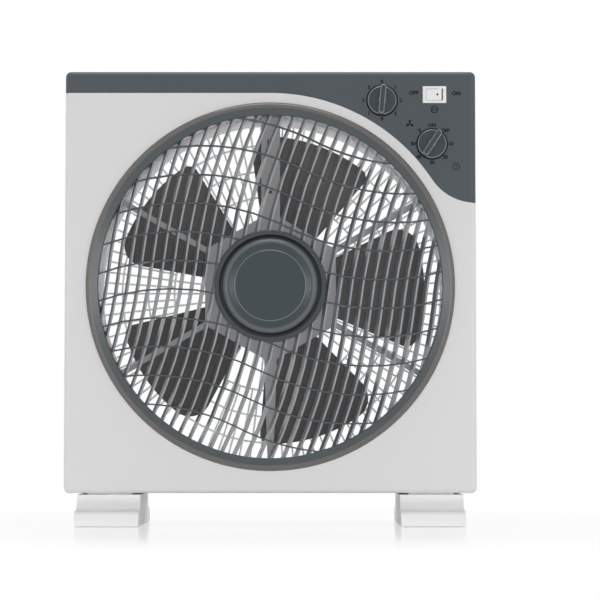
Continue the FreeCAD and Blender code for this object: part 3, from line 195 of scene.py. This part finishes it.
# %% [markdown]
# ## The studio
#
# The fan stands on a pale floor in an even white room. The background has to be white without
# flooding the fan with light, so the world is white only for rays that come from the camera, a
# reflection or a clear piece, and dimmer as a lamp. The floor works the same way. Near the fan it
# keeps a part of its lit surface, which holds the soft shadow of the feet, and a faint mirror
# image, which is stronger at a low angle, as on any polished floor. Both fade with the distance, so
# that the floor has no visible end. From below the floor is clear, so the undersides can be looked
# at.

# %% Floor
floor_radius = 6.0
floor_drop = 0.4 * mm
floor_shadow_share = 0.22
floor_mirror_share = 0.62
floor_colour = (0.93, 0.93, 0.93, 1)
floor_roughness = 0.1
floor_ior = 1.45
fade_start = 0.16
fade_end = 0.60
white = (1, 1, 1, 1)

bpy.ops.object.select_all(action="DESELECT")
bpy.ops.mesh.primitive_circle_add(
    vertices=96, radius=floor_radius, fill_type="NGON", location=(0, 0, -floor_drop)
)
floor = bpy.context.object
floor.name = "studio_floor"

floor_material = bpy.data.materials.new("pale_floor")
floor_material.use_nodes = True
tree = floor_material.node_tree
tree.nodes.clear()
rays = tree.nodes.new("ShaderNodeLightPath")
spot = tree.nodes.new("ShaderNodeTexCoord")
seen = Signal(tree, rays.outputs["Is Camera Ray"])
mirrored = Signal(tree, rays.outputs["Is Glossy Ray"])
through = Signal(tree, rays.outputs["Is Transmission Ray"])
floor_place = Signal(tree, spot.outputs["Object"])
from_fan = floor_place.add_node(
    "ShaderNodeVectorMath", {"operation": "LENGTH"}, {0: floor_place}, "Value"
)
near = 1 - from_fan.step(fade_start, fade_end)
white_glow = seen.add_node("ShaderNodeEmission", {}, {"Color": white})
lit_floor = seen.add_node("ShaderNodeBsdfDiffuse", {}, {"Color": floor_colour})
mirror = seen.add_node("ShaderNodeBsdfGlossy", {}, {"Color": white, "Roughness": floor_roughness})
shadow = near * floor_shadow_share
paper = seen.add_node("ShaderNodeMixShader", {}, {0: shadow, 1: white_glow, 2: lit_floor})
grazing = seen.add_node("ShaderNodeFresnel", {}, {"IOR": floor_ior})
gloss = near * grazing * floor_mirror_share
polished = seen.add_node("ShaderNodeMixShader", {}, {0: gloss, 1: paper, 2: mirror})
shows = (seen + mirrored + through).step(0, 1)
shown = seen.add_node("ShaderNodeMixShader", {}, {0: shows, 1: lit_floor, 2: polished})
clear = seen.add_node("ShaderNodeBsdfTransparent", {}, {"Color": white})
side = tree.nodes.new("ShaderNodeNewGeometry")
from_below = Signal(tree, side.outputs["Backfacing"])
one_sided = seen.add_node("ShaderNodeMixShader", {}, {0: from_below, 1: shown, 2: clear})
surface = tree.nodes.new("ShaderNodeOutputMaterial")
connect(tree, one_sided, surface.inputs["Surface"])
floor.data.materials.append(floor_material)
print("floor radius", floor_radius, "m")

# %% World
room_light = 0.16

world = bpy.data.worlds.new("white_room")
bpy.context.scene.world = world
world.use_nodes = True
tree = world.node_tree
rays = tree.nodes.new("ShaderNodeLightPath")
seen = Signal(tree, rays.outputs["Is Camera Ray"])
mirrored = Signal(tree, rays.outputs["Is Glossy Ray"])
through = Signal(tree, rays.outputs["Is Transmission Ray"])
shows = (seen + mirrored + through).step(0, 1)
background = tree.nodes["Background"]
background.inputs["Color"].default_value = white
connect(tree, room_light + shows * (1 - room_light), background.inputs["Strength"])
print("room light", room_light)

# %% [markdown]
# Lamps stand all round the fan, as in a product studio. Two at the front corners are mirrored by
# the sloping ring of the wheel and by the edges of the knobs and the cap. A small one close to
# the camera reaches the blades and the guard behind the slats. The others light the sides, the
# top and the rear. At a low angle even dull plastic and the floor mirror what is behind them, and
# the small lamp and those at the sides and the rear would be bright patches there, so shiny
# surfaces leave them out. The camera doesn't see any of the lamps.

# %% Lamps
lamps = [
    ("left_front_lamp", (-1.25, -1.97, 0.32), (0.75, 0.5), 4.2, True),
    ("right_front_lamp", (1.25, -1.97, 0.32), (0.75, 0.5), 5.2, True),
    ("camera_lamp", (0.05, -2.45, 0.045), (0.30, 0.07), 29, False),
    ("left_lamp", (-2.4, 0.3, 0.7), (1.4, 1.0), 20, False),
    ("right_lamp", (2.4, 0.3, 0.7), (1.4, 1.0), 20, False),
    ("upper_lamp", (0.0, -0.2, 2.4), (1.4, 0.7), 16, True),
    ("rear_lamp", (0.0, 2.2, 0.9), (1.8, 1.8), 30, False),
]
fan_middle = Vector((0, 0, 0.2))
for name, place, sides, power, mirrors in lamps:
    bpy.ops.object.light_add(type="AREA", location=place)
    lamp = bpy.context.object
    lamp.name = name
    lamp.data.shape = "RECTANGLE"
    lamp.data.size, lamp.data.size_y = sides
    lamp.data.energy = power
    lamp.visible_camera = False
    lamp.visible_glossy = mirrors
    towards_fan = fan_middle - Vector(place)
    lamp.rotation_euler = towards_fan.to_track_quat("-Z", "Y").to_euler()
print("lamps", len(lamps))

# %% [markdown]
# ## Finishes
#
# Nearly everything on the fan is moulded plastic. A mould leaves a fine grain on the surface, and
# the plastic cools with slow changes in tone and shine. A picture of plastic would need a flat
# map of every surface. Noise in space needs none, so one function makes all of these finishes
# from a colour, a roughness and noise of three sizes, and each piece gets its own values.


# %% Moulded plastic
cloud_size = 90 * mm
smear_size = 20 * mm
shine_change = 0.10


def new_finish(name):
    """A new material, its shader and the place on the piece that its patterns start from."""
    material = bpy.data.materials.new(name)
    material.use_nodes = True
    tree = material.node_tree
    place = tree.nodes.new("ShaderNodeTexCoord")
    return material, tree, tree.nodes["Principled BSDF"], Signal(tree, place.outputs["Object"])


def moulded_plastic(name, colour, roughness, grain_size, grain_height, tone, gloss=0.5):
    """Plastic from a mould: slow changes of tone, a fine grain and a shine that varies with both."""
    material, tree, shader, place = new_finish(name)
    shader.inputs["Specular IOR Level"].default_value = gloss
    clouds = place.noise(cloud_size, 3.0)
    grain = place.noise(grain_size, 2.0)
    smears = place.noise(smear_size, 4.0)
    tones = clouds.blend(shaded(colour, 1 - tone), shaded(colour, 1 + tone))
    connect(tree, tones, shader.inputs["Base Color"])
    uneven = (smears - 0.5) * shine_change + (grain - 0.5) * shine_change
    connect(tree, roughness + uneven, shader.inputs["Roughness"])
    connect(tree, grain.bump(grain_height), shader.inputs["Normal"])
    return material


white_plastic = moulded_plastic("white_plastic", (0.62, 0.62, 0.62), 0.42, 0.9 * mm, 0.012 * mm, 0.015)
# painted light: the feet are the case's white plastic, painted lighter for the light the pale floor
# throws on them
foot_plastic_painted_lighter = moulded_plastic("foot_plastic_painted_lighter", (0.74, 0.74, 0.74), 0.42, 0.9 * mm, 0.012 * mm, 0.015)
# painted light: the guard's white plastic is painted paler than the case's, so its shaded bars stay pale
guard_plastic_painted_lighter = moulded_plastic("guard_plastic_painted_lighter", (0.90, 0.90, 0.90), 0.42, 0.9 * mm, 0.012 * mm, 0.015)
carrier_plastic = moulded_plastic(
    "carrier_plastic", (0.29, 0.29, 0.297), 0.45, 0.9 * mm, 0.012 * mm, 0.02
)
slate_plastic = moulded_plastic("slate_plastic", (0.048, 0.060, 0.069), 0.46, 0.5 * mm, 0.03 * mm, 0.05)
blade_plastic = moulded_plastic("blade_plastic", (0.116, 0.110, 0.105), 0.34, 1.2 * mm, 0.01 * mm, 0.06)
rocker_plastic = moulded_plastic("rocker_plastic", (0.73, 0.73, 0.73), 0.30, 0.8 * mm, 0.006 * mm, 0.01)
black_plastic = moulded_plastic("black_plastic", (0.022, 0.022, 0.023), 0.45, 0.6 * mm, 0.02 * mm, 0.08)
rubber = moulded_plastic("rubber", (0.020, 0.020, 0.020), 0.62, 0.4 * mm, 0.02 * mm, 0.1)
print("plastics ready")

# %% [markdown]
# The bars of the rear guard are thin, and their white plastic lets some light through. Subsurface
# scattering lets light that enters a bar leave it again a few millimetres away, so the bars aren't
# dark on the side that no lamp reaches.

# %% Light in the guard
glow_depth = 6 * mm
guard_shader = guard_plastic_painted_lighter.node_tree.nodes["Principled BSDF"]
guard_shader.inputs["Subsurface Weight"].default_value = 1.0
guard_shader.inputs["Subsurface Radius"].default_value = (1.0, 1.0, 1.0)
guard_shader.inputs["Subsurface Scale"].default_value = glow_depth
print("light travels", round(glow_depth / mm, 1), "mm in the guard")

# %% [markdown]
# The louver wheel is slate too, with bands of painted light and shade on it. The round bead on its
# outer edge is painted a little lighter and warmer, a painted reflection. The sides of the slats
# behind the ribs are painted silvery, a painted sheen. The face of the hub ring is painted darker as
# painted shade, so its outer edge stays lighter, and the groove round the hub's cap is painted nearly
# black as painted shade. The cap is darker, with a thin painted highlight where its flat face meets
# the slope, a painted sheen on its paler shoulder and painted shade on its skirt. The mesh comes from
# CAD and stays as it is, and each of these places lies between two distances from the fan's axis, so
# in the material the distance picks the colour. The slats also begin at a certain depth, where the
# ribs end.

# %% Places of the louver's colours
axis_height = next(joint["pos_m"][2] for joint in frame["joints"] if joint["name"] == "fan_spin")
wheel_low, wheel_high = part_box("louver_wheel")
wheel_radius = (wheel_high.x - wheel_low.x) / 2
ring_width = 11.5 * mm
bead_width = 4.9 * mm
hub_radius = 50 * mm
hub_wall = 4.1 * mm
hub_edge = 0.9 * mm
slat_depth = 11 * mm
slat_front = wheel_high.y - slat_depth
cap_radius = 42.8 * mm
shoulder_width = 3.2 * mm
shoulder_blur = 2.6 * mm
skirt_blur = 0.1 * mm
highlight_line_radius = 31.3 * mm
highlight_line_width = 0.5 * mm
any_depth = -1.0
print("wheel radius", round(wheel_radius / mm, 1), "mm")


# %% Louver plastic
def round_plastic(name, colour, roughness, gloss, bands):
    """Moulded plastic with bands of painted light and shade round the fan's axis.

    A band has two distances from the axis, the width of its soft ends, the depth at which it
    starts and a colour.
    """
    material = moulded_plastic(name, colour, roughness, 0.8 * mm, 0.012 * mm, 0.04, gloss=gloss)
    tree = material.node_tree
    shader = tree.nodes["Principled BSDF"]
    result = Signal(tree, shader.inputs["Base Color"].links[0].from_socket)
    place = Signal(tree, tree.nodes["Texture Coordinate"].outputs["Object"])
    from_axis = place.add_node(
        "ShaderNodeVectorMath", {"operation": "SUBTRACT"}, {0: place, 1: (0, 0, axis_height)}
    )
    flat = from_axis.add_node(
        "ShaderNodeVectorMath", {"operation": "MULTIPLY"}, {0: from_axis, 1: (1, 0, 1)}
    )
    distance = flat.add_node("ShaderNodeVectorMath", {"operation": "LENGTH"}, {0: flat}, "Value")
    depth = place.add_node("ShaderNodeSeparateXYZ", {}, {"Vector": place}, "Y")
    for start, end, blur, front, band_colour in bands:
        share = distance.between(start, end, blur) * depth.step(front - edge_blur, front)
        result = share.blend(result, shaded(band_colour, 1))
    connect(tree, result, shader.inputs["Base Color"])
    return material


ring_inside = wheel_radius - ring_width
bead_inside = wheel_radius - bead_width
groove_outside = hub_radius - hub_wall
shoulder = cap_radius - shoulder_width
highlight_line_end = highlight_line_radius + highlight_line_width
# painted shade: the colour of the groove round the cap and of the cap's skirt
painted_groove_shade = (0.005, 0.006, 0.008)
wheel_bands = [
    # painted sheen: the sides of the slats behind the ribs, painted silvery
    (hub_radius, ring_inside, edge_blur, slat_front, (0.265, 0.286, 0.305)),
    # painted reflection: the round bead, painted lighter and warmer
    (bead_inside, 2 * wheel_radius, edge_blur, any_depth, (0.106, 0.099, 0.092)),
    # painted shade: the face of the hub ring, darker than its outer edge
    (groove_outside, hub_radius - hub_edge, edge_blur, any_depth, (0.022, 0.031, 0.037)),
    # painted shade: the groove round the cap, nearly black
    (0, groove_outside, edge_blur, any_depth, painted_groove_shade),
]
cap_bands = [
    # painted highlight: a thin light line where the cap's flat face meets the slope
    (highlight_line_radius, highlight_line_end, edge_blur, any_depth, (0.13, 0.14, 0.15)),
    # painted sheen: the cap's shoulder, paler
    (shoulder, cap_radius, shoulder_blur, any_depth, (0.090, 0.102, 0.110)),
    # painted shade: the cap's skirt down in the groove, nearly black
    (cap_radius - skirt_blur, wheel_radius, skirt_blur, any_depth, painted_groove_shade),
]
louver_plastic = round_plastic("louver_plastic", (0.045, 0.056, 0.062), 0.25, 0.6, wheel_bands)
cap_plastic = round_plastic("cap_plastic", (0.024, 0.036, 0.042), 0.30, 0.5, cap_bands)
print("bands on the wheel", len(wheel_bands), "and on the cap", len(cap_bands))

# %% [markdown]
# The knobs are dark too. A thin light line round the disc and along the grip bar is a painted
# highlight, for the light that their rounded edges catch. The first is a band of distance from the
# knob's middle, the second a band of distance from the bar's middle line. That line is as long as
# the bar without its round ends, so the band closes round them.

# %% Knob plastic
knob_colour = (0.024, 0.032, 0.040)
painted_highlight_colour = (0.20, 0.21, 0.22)
rim_highlight = (12.2 * mm, 12.6 * mm)
grip_highlight = (2.05 * mm, 2.5 * mm)
grip_reach = 10.5 * mm


def middle_of(name):
    """The middle of a CAD piece at rest."""
    low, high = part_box(name)
    return (low + high) / 2


def knob_plastic(name, middle, pointing):
    """Plastic with painted highlights along the edges of a knob whose grip bar is turned clockwise by an
    angle.
    """
    material = moulded_plastic(name, knob_colour, 0.28, 0.6 * mm, 0.012 * mm, 0.04)
    tree = material.node_tree
    shader = tree.nodes["Principled BSDF"]
    plain = Signal(tree, shader.inputs["Base Color"].links[0].from_socket)
    place = Signal(tree, tree.nodes["Texture Coordinate"].outputs["Object"])
    upright_place = place.add_node(
        "ShaderNodeVectorRotate",
        {"rotation_type": "Y_AXIS"},
        {"Vector": place, "Center": middle, "Angle": -pointing},
    )
    from_middle = place.add_node(
        "ShaderNodeVectorMath", {"operation": "SUBTRACT"}, {0: upright_place, 1: middle}
    )
    across = place.add_node("ShaderNodeSeparateXYZ", {}, {"Vector": from_middle}, "X")
    along = place.add_node("ShaderNodeSeparateXYZ", {}, {"Vector": from_middle}, "Z")
    past_end = place.math("MAXIMUM", place.math("ABSOLUTE", along, 0) - grip_reach, 0)
    from_middle_line = place.math("SQRT", across * across + past_end * past_end, 0)
    distance = place.math("SQRT", across * across + along * along, 0)
    # painted highlight: light lines along the disc's rim and the grip bar's edges
    painted_highlights = distance.between(*rim_highlight) + from_middle_line.between(*grip_highlight)
    connect(tree, painted_highlights.blend(plain, shaded(painted_highlight_colour, 1)), shader.inputs["Base Color"])
    return material


speed_pointing = math.radians(5.4)
timer_pointing = math.radians(33)
speed_knob_plastic = knob_plastic("speed_knob_plastic", middle_of("speed_shaft"), speed_pointing)
timer_knob_plastic = knob_plastic("timer_knob_plastic", middle_of("timer_shaft"), timer_pointing)
print("knob plastics ready")

# %% [markdown]
# ## Metals
#
# The motor's covers are zinc-plated sheet, which shows a patchwork of dull crystals. A Voronoi
# texture is such a patchwork. Shafts and screws are plain steel with fine marks round them from
# the lathe. Noise that is squeezed along the axis of the shafts gives those marks. The bronze
# bushes have them too, and on the copper winding they pass for wires that run round it.


# %% Metals
crystal_size = 5 * mm
crystal_share = 0.6
dark_crystal = 0.82
light_crystal = 1.08
crystal_shine = 0.2
dull_size = 1.5 * mm
dull_height = 0.01 * mm
mark_size = 2.5 * mm
mark_stretch = (1, 14, 1)
mark_height = 0.008 * mm
mark_shine = 0.25
stain_size = 6 * mm
dark_stain = 0.85
light_stain = 1.05


def plated_sheet(name, colour, roughness):
    """Zinc-plated steel: crystals of slightly different brightness."""
    material, tree, shader, place = new_finish(name)
    crystals = place.cells(crystal_size)
    dull = place.noise(dull_size, 3.0)
    shader.inputs["Metallic"].default_value = 1.0
    share = crystals * crystal_share + dull * (1 - crystal_share)
    tones = share.blend(shaded(colour, dark_crystal), shaded(colour, light_crystal))
    connect(tree, tones, shader.inputs["Base Color"])
    connect(tree, roughness + (share - 0.5) * crystal_shine, shader.inputs["Roughness"])
    connect(tree, dull.bump(dull_height), shader.inputs["Normal"])
    return material


def turned_metal(name, colour, roughness):
    """Metal from a lathe: fine marks that run round the piece."""
    material, tree, shader, place = new_finish(name)
    marks = place.stretched(mark_stretch).noise(mark_size, 4.0)
    stains = place.noise(stain_size, 3.0)
    shader.inputs["Metallic"].default_value = 1.0
    tones = stains.blend(shaded(colour, dark_stain), shaded(colour, light_stain))
    connect(tree, tones, shader.inputs["Base Color"])
    connect(tree, roughness + (marks - 0.5) * mark_shine, shader.inputs["Roughness"])
    connect(tree, marks.bump(mark_height), shader.inputs["Normal"])
    return material


zinc = plated_sheet("zinc_sheet", (0.60, 0.61, 0.62), 0.42)
steel = turned_metal("turned_steel", (0.56, 0.56, 0.57), 0.30)
bronze = turned_metal("sintered_bronze", (0.46, 0.31, 0.15), 0.48)
copper = turned_metal("copper_wire", (0.52, 0.20, 0.09), 0.35)
print("metals ready")

# %% [markdown]
# Each CAD piece now gets its finish. The shape stays as it is: only the material slot changes. The
# pieces that the list doesn't name are all of steel.

# %% Finishes on the CAD pieces
finishes = [
    (white_plastic, ["front_shell", "air_duct", "rear_shell"]),
    (foot_plastic_painted_lighter, ["foot_left", "foot_right"]),
    (guard_plastic_painted_lighter, ["rear_grille"]),
    (carrier_plastic, ["louver_spider"]),
    (slate_plastic, ["control_panel"]),
    (louver_plastic, ["louver_wheel"]),
    (cap_plastic, ["louver_cap"]),
    (blade_plastic, ["fan_impeller", "blade_nut"]),
    (speed_knob_plastic, ["speed_knob"]),
    (timer_knob_plastic, ["timer_knob"]),
    (rocker_plastic, ["switch_frame", "louver_rocker"]),
    (black_plastic, ["speed_switch", "timer_unit", "capacitor"]),
    (rubber, ["cord_inlet"]),
    (zinc, ["louver_motor", "motor_front_cap", "motor_rear_cap"]),
    (copper, ["stator_winding"]),
    (bronze, ["front_bush", "rear_bush"]),
]
remaining = set(nodes)
for finish, names in finishes:
    for name in names:
        nodes[name].data.materials.clear()
        nodes[name].data.materials.append(finish)
        remaining.discard(name)
for name in remaining:
    nodes[name].data.materials.clear()
    nodes[name].data.materials.append(steel)
print("steel pieces:", sorted(remaining))

# %% [markdown]
# ## Print on the control corner
#
# Both dials have a ring of labels round them, and each control has a small sign. The real marks are
# a film of dark ink a few hundredths of a millimetre thick. A dark ring of the same ink round each
# knob is painted shadow: it stands for the shade in the gap between the knob and the panel. A
# material could draw a circle, but hardly a letter, so the marks are meshes. Letters start as text
# objects that face the front, and the signs start as circles and planes that are inset, scaled and
# turned. All of them lie on the front of the panel and are joined, and one Solidify modifier gives
# the ink its thickness.

# %% Printed words
upright = (math.radians(90), 0, 0)
capital_share = 0.69
bold_share = 0.06


def printed_word(word, x, z, height):
    """A word or number on the front of the panel, centred on a place."""
    bpy.ops.object.select_all(action="DESELECT")
    bpy.ops.object.text_add(location=(x, panel_front, z), rotation=upright)
    piece = bpy.context.object
    piece.data.body = word
    piece.data.size = height / capital_share
    piece.data.offset = bold_share * height
    piece.data.align_x = "CENTER"
    piece.data.align_y = "CENTER"
    bpy.ops.object.convert(target="MESH")
    bpy.ops.object.transform_apply()
    return bpy.context.object


print("a capital is", capital_share, "of the text size")


# %% Printed discs, rings and bars
def printed_disc(x, z, radius, stretch=1.0, turn=0.0):
    """A dot, or an oval that is stretched upwards and then turned."""
    bpy.ops.object.select_all(action="DESELECT")
    bpy.ops.mesh.primitive_circle_add(vertices=32, radius=radius, fill_type="NGON")
    piece = bpy.context.object
    piece.scale = (1, stretch, 1)
    bpy.ops.object.transform_apply()
    piece.rotation_euler = (math.radians(90), turn, 0)
    piece.location = (x, panel_front, z)
    bpy.ops.object.transform_apply()
    return piece


def printed_ring(x, z, radius, width):
    """A circle line: a disc, inset by the width of the line, without its middle."""
    piece = printed_disc(x, z, radius)
    bpy.ops.object.mode_set(mode="EDIT")
    bpy.ops.mesh.select_all(action="SELECT")
    bpy.ops.mesh.inset(thickness=width, depth=0)
    bpy.ops.mesh.delete(type="FACE")
    bpy.ops.object.mode_set(mode="OBJECT")
    return piece


def printed_bar(x, z, length, width, turn):
    """A straight line, turned counter-clockwise from the right."""
    bpy.ops.object.select_all(action="DESELECT")
    bpy.ops.mesh.primitive_plane_add(size=1)
    piece = bpy.context.object
    piece.scale = (length, width, 1)
    bpy.ops.object.transform_apply()
    piece.rotation_euler = (math.radians(90), -turn, 0)
    piece.location = (x, panel_front, z)
    bpy.ops.object.transform_apply()
    return piece


print("shape helpers ready")

# %% Film of ink
ink = moulded_plastic("dial_ink", (0.008, 0.009, 0.010), 0.60, 0.3 * mm, 0.004 * mm, 0.1, gloss=0.1)
ink_thickness = 0.03 * mm


def select_only(pieces):
    """Select some pieces and nothing else, with the first of them active."""
    bpy.ops.object.select_all(action="DESELECT")
    for piece in pieces:
        piece.select_set(True)
    bpy.context.view_layer.objects.active = pieces[0]


def give_ink(piece):
    """Turn a flat mark into a film of ink."""
    select_only([piece])
    film = piece.modifiers.new("ink_film", "SOLIDIFY")
    film.thickness = ink_thickness
    film.offset = 1
    bpy.ops.object.modifier_apply(modifier=film.name)
    piece.data.materials.clear()
    piece.data.materials.append(ink)


print("ink thickness", round(ink_thickness / mm, 3), "mm")

# %% Numbers round the dials
label_radius = 16.8 * mm
label_height = 3.0 * mm
knob_shadow_ring_radius = 14.3 * mm
knob_shadow_ring_width = 1.4 * mm
speed_middle = middle_of("speed_shaft")
timer_middle = middle_of("timer_shaft")
dials = [
    (speed_middle, ["0", "1", "2", "3", "0", "1", "2", "3"]),
    (timer_middle, ["ON", "OFF", "10", "20", "30", "40", "50", "60"]),
]
marks = []
for middle, labels in dials:
    # painted shadow: a dark ring round each knob stands for the shade in the gap between knob and panel
    marks.append(printed_ring(middle.x, middle.z, knob_shadow_ring_radius, knob_shadow_ring_width))
    for number, label in enumerate(labels):
        angle = math.radians(90 - 360 / len(labels) * number)
        across = label_radius * math.cos(angle)
        up = label_radius * math.sin(angle)
        marks.append(printed_word(label, middle.x + across, middle.z + up, label_height))
print("marks round the dials", len(marks))

# %% Words and sign of the louver switch
word_height = 3.3 * mm
off_left = 18.6 * mm
off_up = 1.6 * mm
on_right = 19.6 * mm
on_up = 1.2 * mm
sign_radius = 3.4 * mm
sign_line = 0.2
louver_sign_down = 13.2 * mm
sign_slat_step = 0.5
sign_slat_length = 1.1
sign_slat_slope = math.radians(70)

switch_middle = middle_of("switch_frame")
marks.append(printed_word("OFF", switch_middle.x - off_left, switch_middle.z + off_up, word_height))
marks.append(printed_word("ON", switch_middle.x + on_right, switch_middle.z + on_up, word_height))


def louver_sign(x, z, radius):
    """A wheel with three slanting slats."""
    line = radius * sign_line
    parts = [printed_ring(x, z, radius, line)]
    for step in (-1, 0, 1):
        slat_x = x + step * radius * sign_slat_step
        parts.append(printed_bar(slat_x, z, radius * sign_slat_length, line, sign_slat_slope))
    return parts


marks += louver_sign(switch_middle.x, switch_middle.z - louver_sign_down, sign_radius)
print("marks with the switch", len(marks))

# %% Signs of the fan speed and the timer
fan_sign_radius = 3.8 * mm
fan_sign_right = 24.8 * mm
fan_sign_down = 21.1 * mm
clock_sign_right = 21.5 * mm
clock_sign_down = 20.2 * mm
sign_hub = 0.2
sign_blade_reach = 0.58
sign_blade_width = 0.27
sign_blade_stretch = 1.5
hour_hand = 0.45
hour_middle = 0.22
minute_hand = 0.6
minute_middle = 0.3


def fan_sign(x, z, radius):
    """Three oval blades round a hub."""
    parts = [printed_disc(x, z, radius * sign_hub)]
    for number in range(3):
        turn = math.radians(120 * number)
        reach = radius * sign_blade_reach
        blade_x = x + reach * math.sin(turn)
        blade_z = z + reach * math.cos(turn)
        width = radius * sign_blade_width
        parts.append(printed_disc(blade_x, blade_z, width, sign_blade_stretch, turn))
    return parts


def clock_sign(x, z, radius):
    """A dial with two hands."""
    line = radius * sign_line
    hour = printed_bar(x + radius * hour_middle, z, radius * hour_hand, line, 0)
    minute = printed_bar(x, z + radius * minute_middle, radius * minute_hand, line, math.radians(90))
    return [printed_ring(x, z, radius, line), hour, minute]


marks += fan_sign(speed_middle.x + fan_sign_right, speed_middle.z - fan_sign_down, fan_sign_radius)
marks += clock_sign(timer_middle.x + clock_sign_right, timer_middle.z - clock_sign_down, sign_radius)
print("marks with the signs", len(marks))

# %% All the print and the painted knob shadows in one piece
select_only(marks)
bpy.ops.object.join()
print_and_knob_shadows = bpy.context.object
print_and_knob_shadows.name = "print_and_knob_shadows"
give_ink(print_and_knob_shadows)
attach(print_and_knob_shadows, "housing")
print("print has", len(print_and_knob_shadows.data.polygons), "faces")

# %% [markdown]
# The rocker has one dark dot beside its middle, on the half that stands out. The rocker's face is
# hollow and leans at rest, so a ray from the front finds where the dot touches it and which way that
# spot faces.

# %% Dot on the rocker
dot_radius = 0.95 * mm
dot_across = 2.6 * mm
ray_length = 50 * mm
rocker_middle = middle_of("louver_rocker")
rocker = nodes["louver_rocker"]
ray_start = Vector((rocker_middle.x + dot_across, panel_front - ray_length, rocker_middle.z))
hit, spot, facing, _ = rocker.ray_cast(ray_start, Vector((0, 1, 0)))
bpy.ops.object.select_all(action="DESELECT")
bpy.ops.mesh.primitive_circle_add(vertices=24, radius=dot_radius, fill_type="NGON")
dot = bpy.context.object
dot.name = "rocker_dot"
dot.rotation_euler = facing.to_track_quat("Z", "Y").to_euler()
dot.location = spot
bpy.ops.object.transform_apply()
give_ink(dot)
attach(dot, "louver_switch")
print("dot found the rocker:", hit)

# %% [markdown]
# ## Screws
#
# In CAD each screw is a plain head on a plain shank. A real pan-head screw has a domed head with a
# cross in it. One screw is modelled for each group: a cylinder whose upper edge is bevelled into a
# dome, an inset and extruded shank, and a cross cut by a Boolean. Copies of it then replace the
# plain screws, in the places that the CAD piece gives.

# %% Screw places
least_spacing = 8 * mm


def screw_places(name, axis):
    """The lowest and highest corner of each screw in a CAD piece of several, which lie well apart."""
    across = [number for number in range(3) if number != axis]
    groups = []
    for vertex in nodes[name].data.vertices:
        point = vertex.co
        for low, high in groups:
            middle = [(low[number] + high[number]) / 2 for number in across]
            if math.dist(middle, [point[number] for number in across]) < least_spacing:
                for number in range(3):
                    low[number] = min(low[number], point[number])
                    high[number] = max(high[number], point[number])
                break
        else:
            groups.append((list(point), list(point)))
    return groups


for name, axis in (("grille_screws", 1), ("motor_screws", 1), ("case_screws", 1), ("foot_screws", 2)):
    print(name, len(screw_places(name, axis)))

# %% One pan-head screw
dome_share = 0.6
facing_limit = 0.9


def select_faces(piece, facing):
    """Select the faces that look up, or those that look down where facing is -1."""
    for face in piece.data.polygons:
        face.select = face.normal.z * facing > facing_limit


def pan_head_screw(head_radius, head_height, shank_radius, length):
    """A screw that points down from the origin, with its head above."""
    bpy.ops.object.select_all(action="DESELECT")
    bpy.ops.mesh.primitive_cylinder_add(
        vertices=40, radius=head_radius, depth=head_height, location=(0, 0, head_height / 2)
    )
    screw = bpy.context.object
    bpy.ops.object.transform_apply()
    bpy.ops.object.mode_set(mode="EDIT")
    bpy.ops.mesh.select_mode(type="FACE")
    bpy.ops.mesh.select_all(action="DESELECT")
    bpy.ops.object.mode_set(mode="OBJECT")
    select_faces(screw, -1)
    bpy.ops.object.mode_set(mode="EDIT")
    bpy.ops.mesh.inset(thickness=head_radius - shank_radius, depth=0)
    bpy.ops.mesh.extrude_region_move(TRANSFORM_OT_translate={"value": (0, 0, -length)})
    bpy.ops.mesh.select_all(action="DESELECT")
    bpy.ops.object.mode_set(mode="OBJECT")
    select_faces(screw, 1)
    bpy.ops.object.mode_set(mode="EDIT")
    bpy.ops.mesh.region_to_loop()
    bpy.ops.mesh.bevel(offset=head_height * dome_share, segments=5, affect="EDGES")
    bpy.ops.object.mode_set(mode="OBJECT")
    return screw


print("dome takes", dome_share, "of the head")

# %% Cross in the head
cross_length = 1.15
cross_width = 0.26
cross_depth = 1.1


def cut_cross(screw, head_radius, head_height):
    """Cut a cross into the head with two crossed bars."""
    for turn in (0, 90):
        bpy.ops.object.select_all(action="DESELECT")
        bpy.ops.mesh.primitive_cube_add(size=1, location=(0, 0, head_height))
        bar = bpy.context.object
        bar.scale = (head_radius * cross_length, head_radius * cross_width, head_height * cross_depth)
        bar.rotation_euler = (0, 0, math.radians(turn))
        bpy.ops.object.transform_apply()
        select_only([screw])
        cut = screw.modifiers.new("cross", "BOOLEAN")
        cut.operation = "DIFFERENCE"
        cut.object = bar
        bpy.ops.object.modifier_apply(modifier=cut.name)
        bpy.data.objects.remove(bar)


print("cross is", cross_length, "of the head's radius long")

# %% Screws in place
screw_groups = [
    ("grille_screws", 1, 1, 1.0 * mm, 1.4 * mm),
    ("motor_screws", 1, 1, 2.4 * mm, 1.6 * mm),
    ("case_screws", 1, 1, 2.4 * mm, 1.6 * mm),
    ("foot_screws", 2, -1, 2.4 * mm, 1.6 * mm),
]
turn_between = math.radians(37)
smooth_angle = math.radians(35)
for name, axis, head_side, head_height, shank_radius in screw_groups:
    places = screw_places(name, axis)
    low, high = places[0]
    head_radius = (high[0] - low[0]) / 2
    length = high[axis] - low[axis] - head_height
    model = pan_head_screw(head_radius, head_height, shank_radius, length)
    cut_cross(model, head_radius, head_height)
    copies = []
    for number, (low, high) in enumerate(places):
        select_only([model])
        bpy.ops.object.duplicate()
        screw = bpy.context.object
        seat = [(low[each] + high[each]) / 2 for each in range(3)]
        seat[axis] = high[axis] - head_height if head_side > 0 else low[axis] + head_height
        turned = Matrix.Rotation(turn_between * number, 4, "Z")
        heading = Vector((0, 0, 0))
        heading[axis] = head_side
        pointing = heading.to_track_quat("Z", "Y").to_matrix().to_4x4()
        screw.matrix_world = Matrix.Translation(seat) @ pointing @ turned
        bpy.ops.object.transform_apply()
        copies.append(screw)
    bpy.data.objects.remove(model)
    select_only(copies)
    bpy.ops.object.join()
    group = bpy.context.object
    group.name = name.replace("screws", "cross_screws")
    bpy.ops.object.shade_smooth_by_angle(angle=smooth_angle)
    group.data.materials.clear()
    group.data.materials.append(steel)
    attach(group, "housing")
    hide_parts(name)
    print(group.name, len(places), "screws")
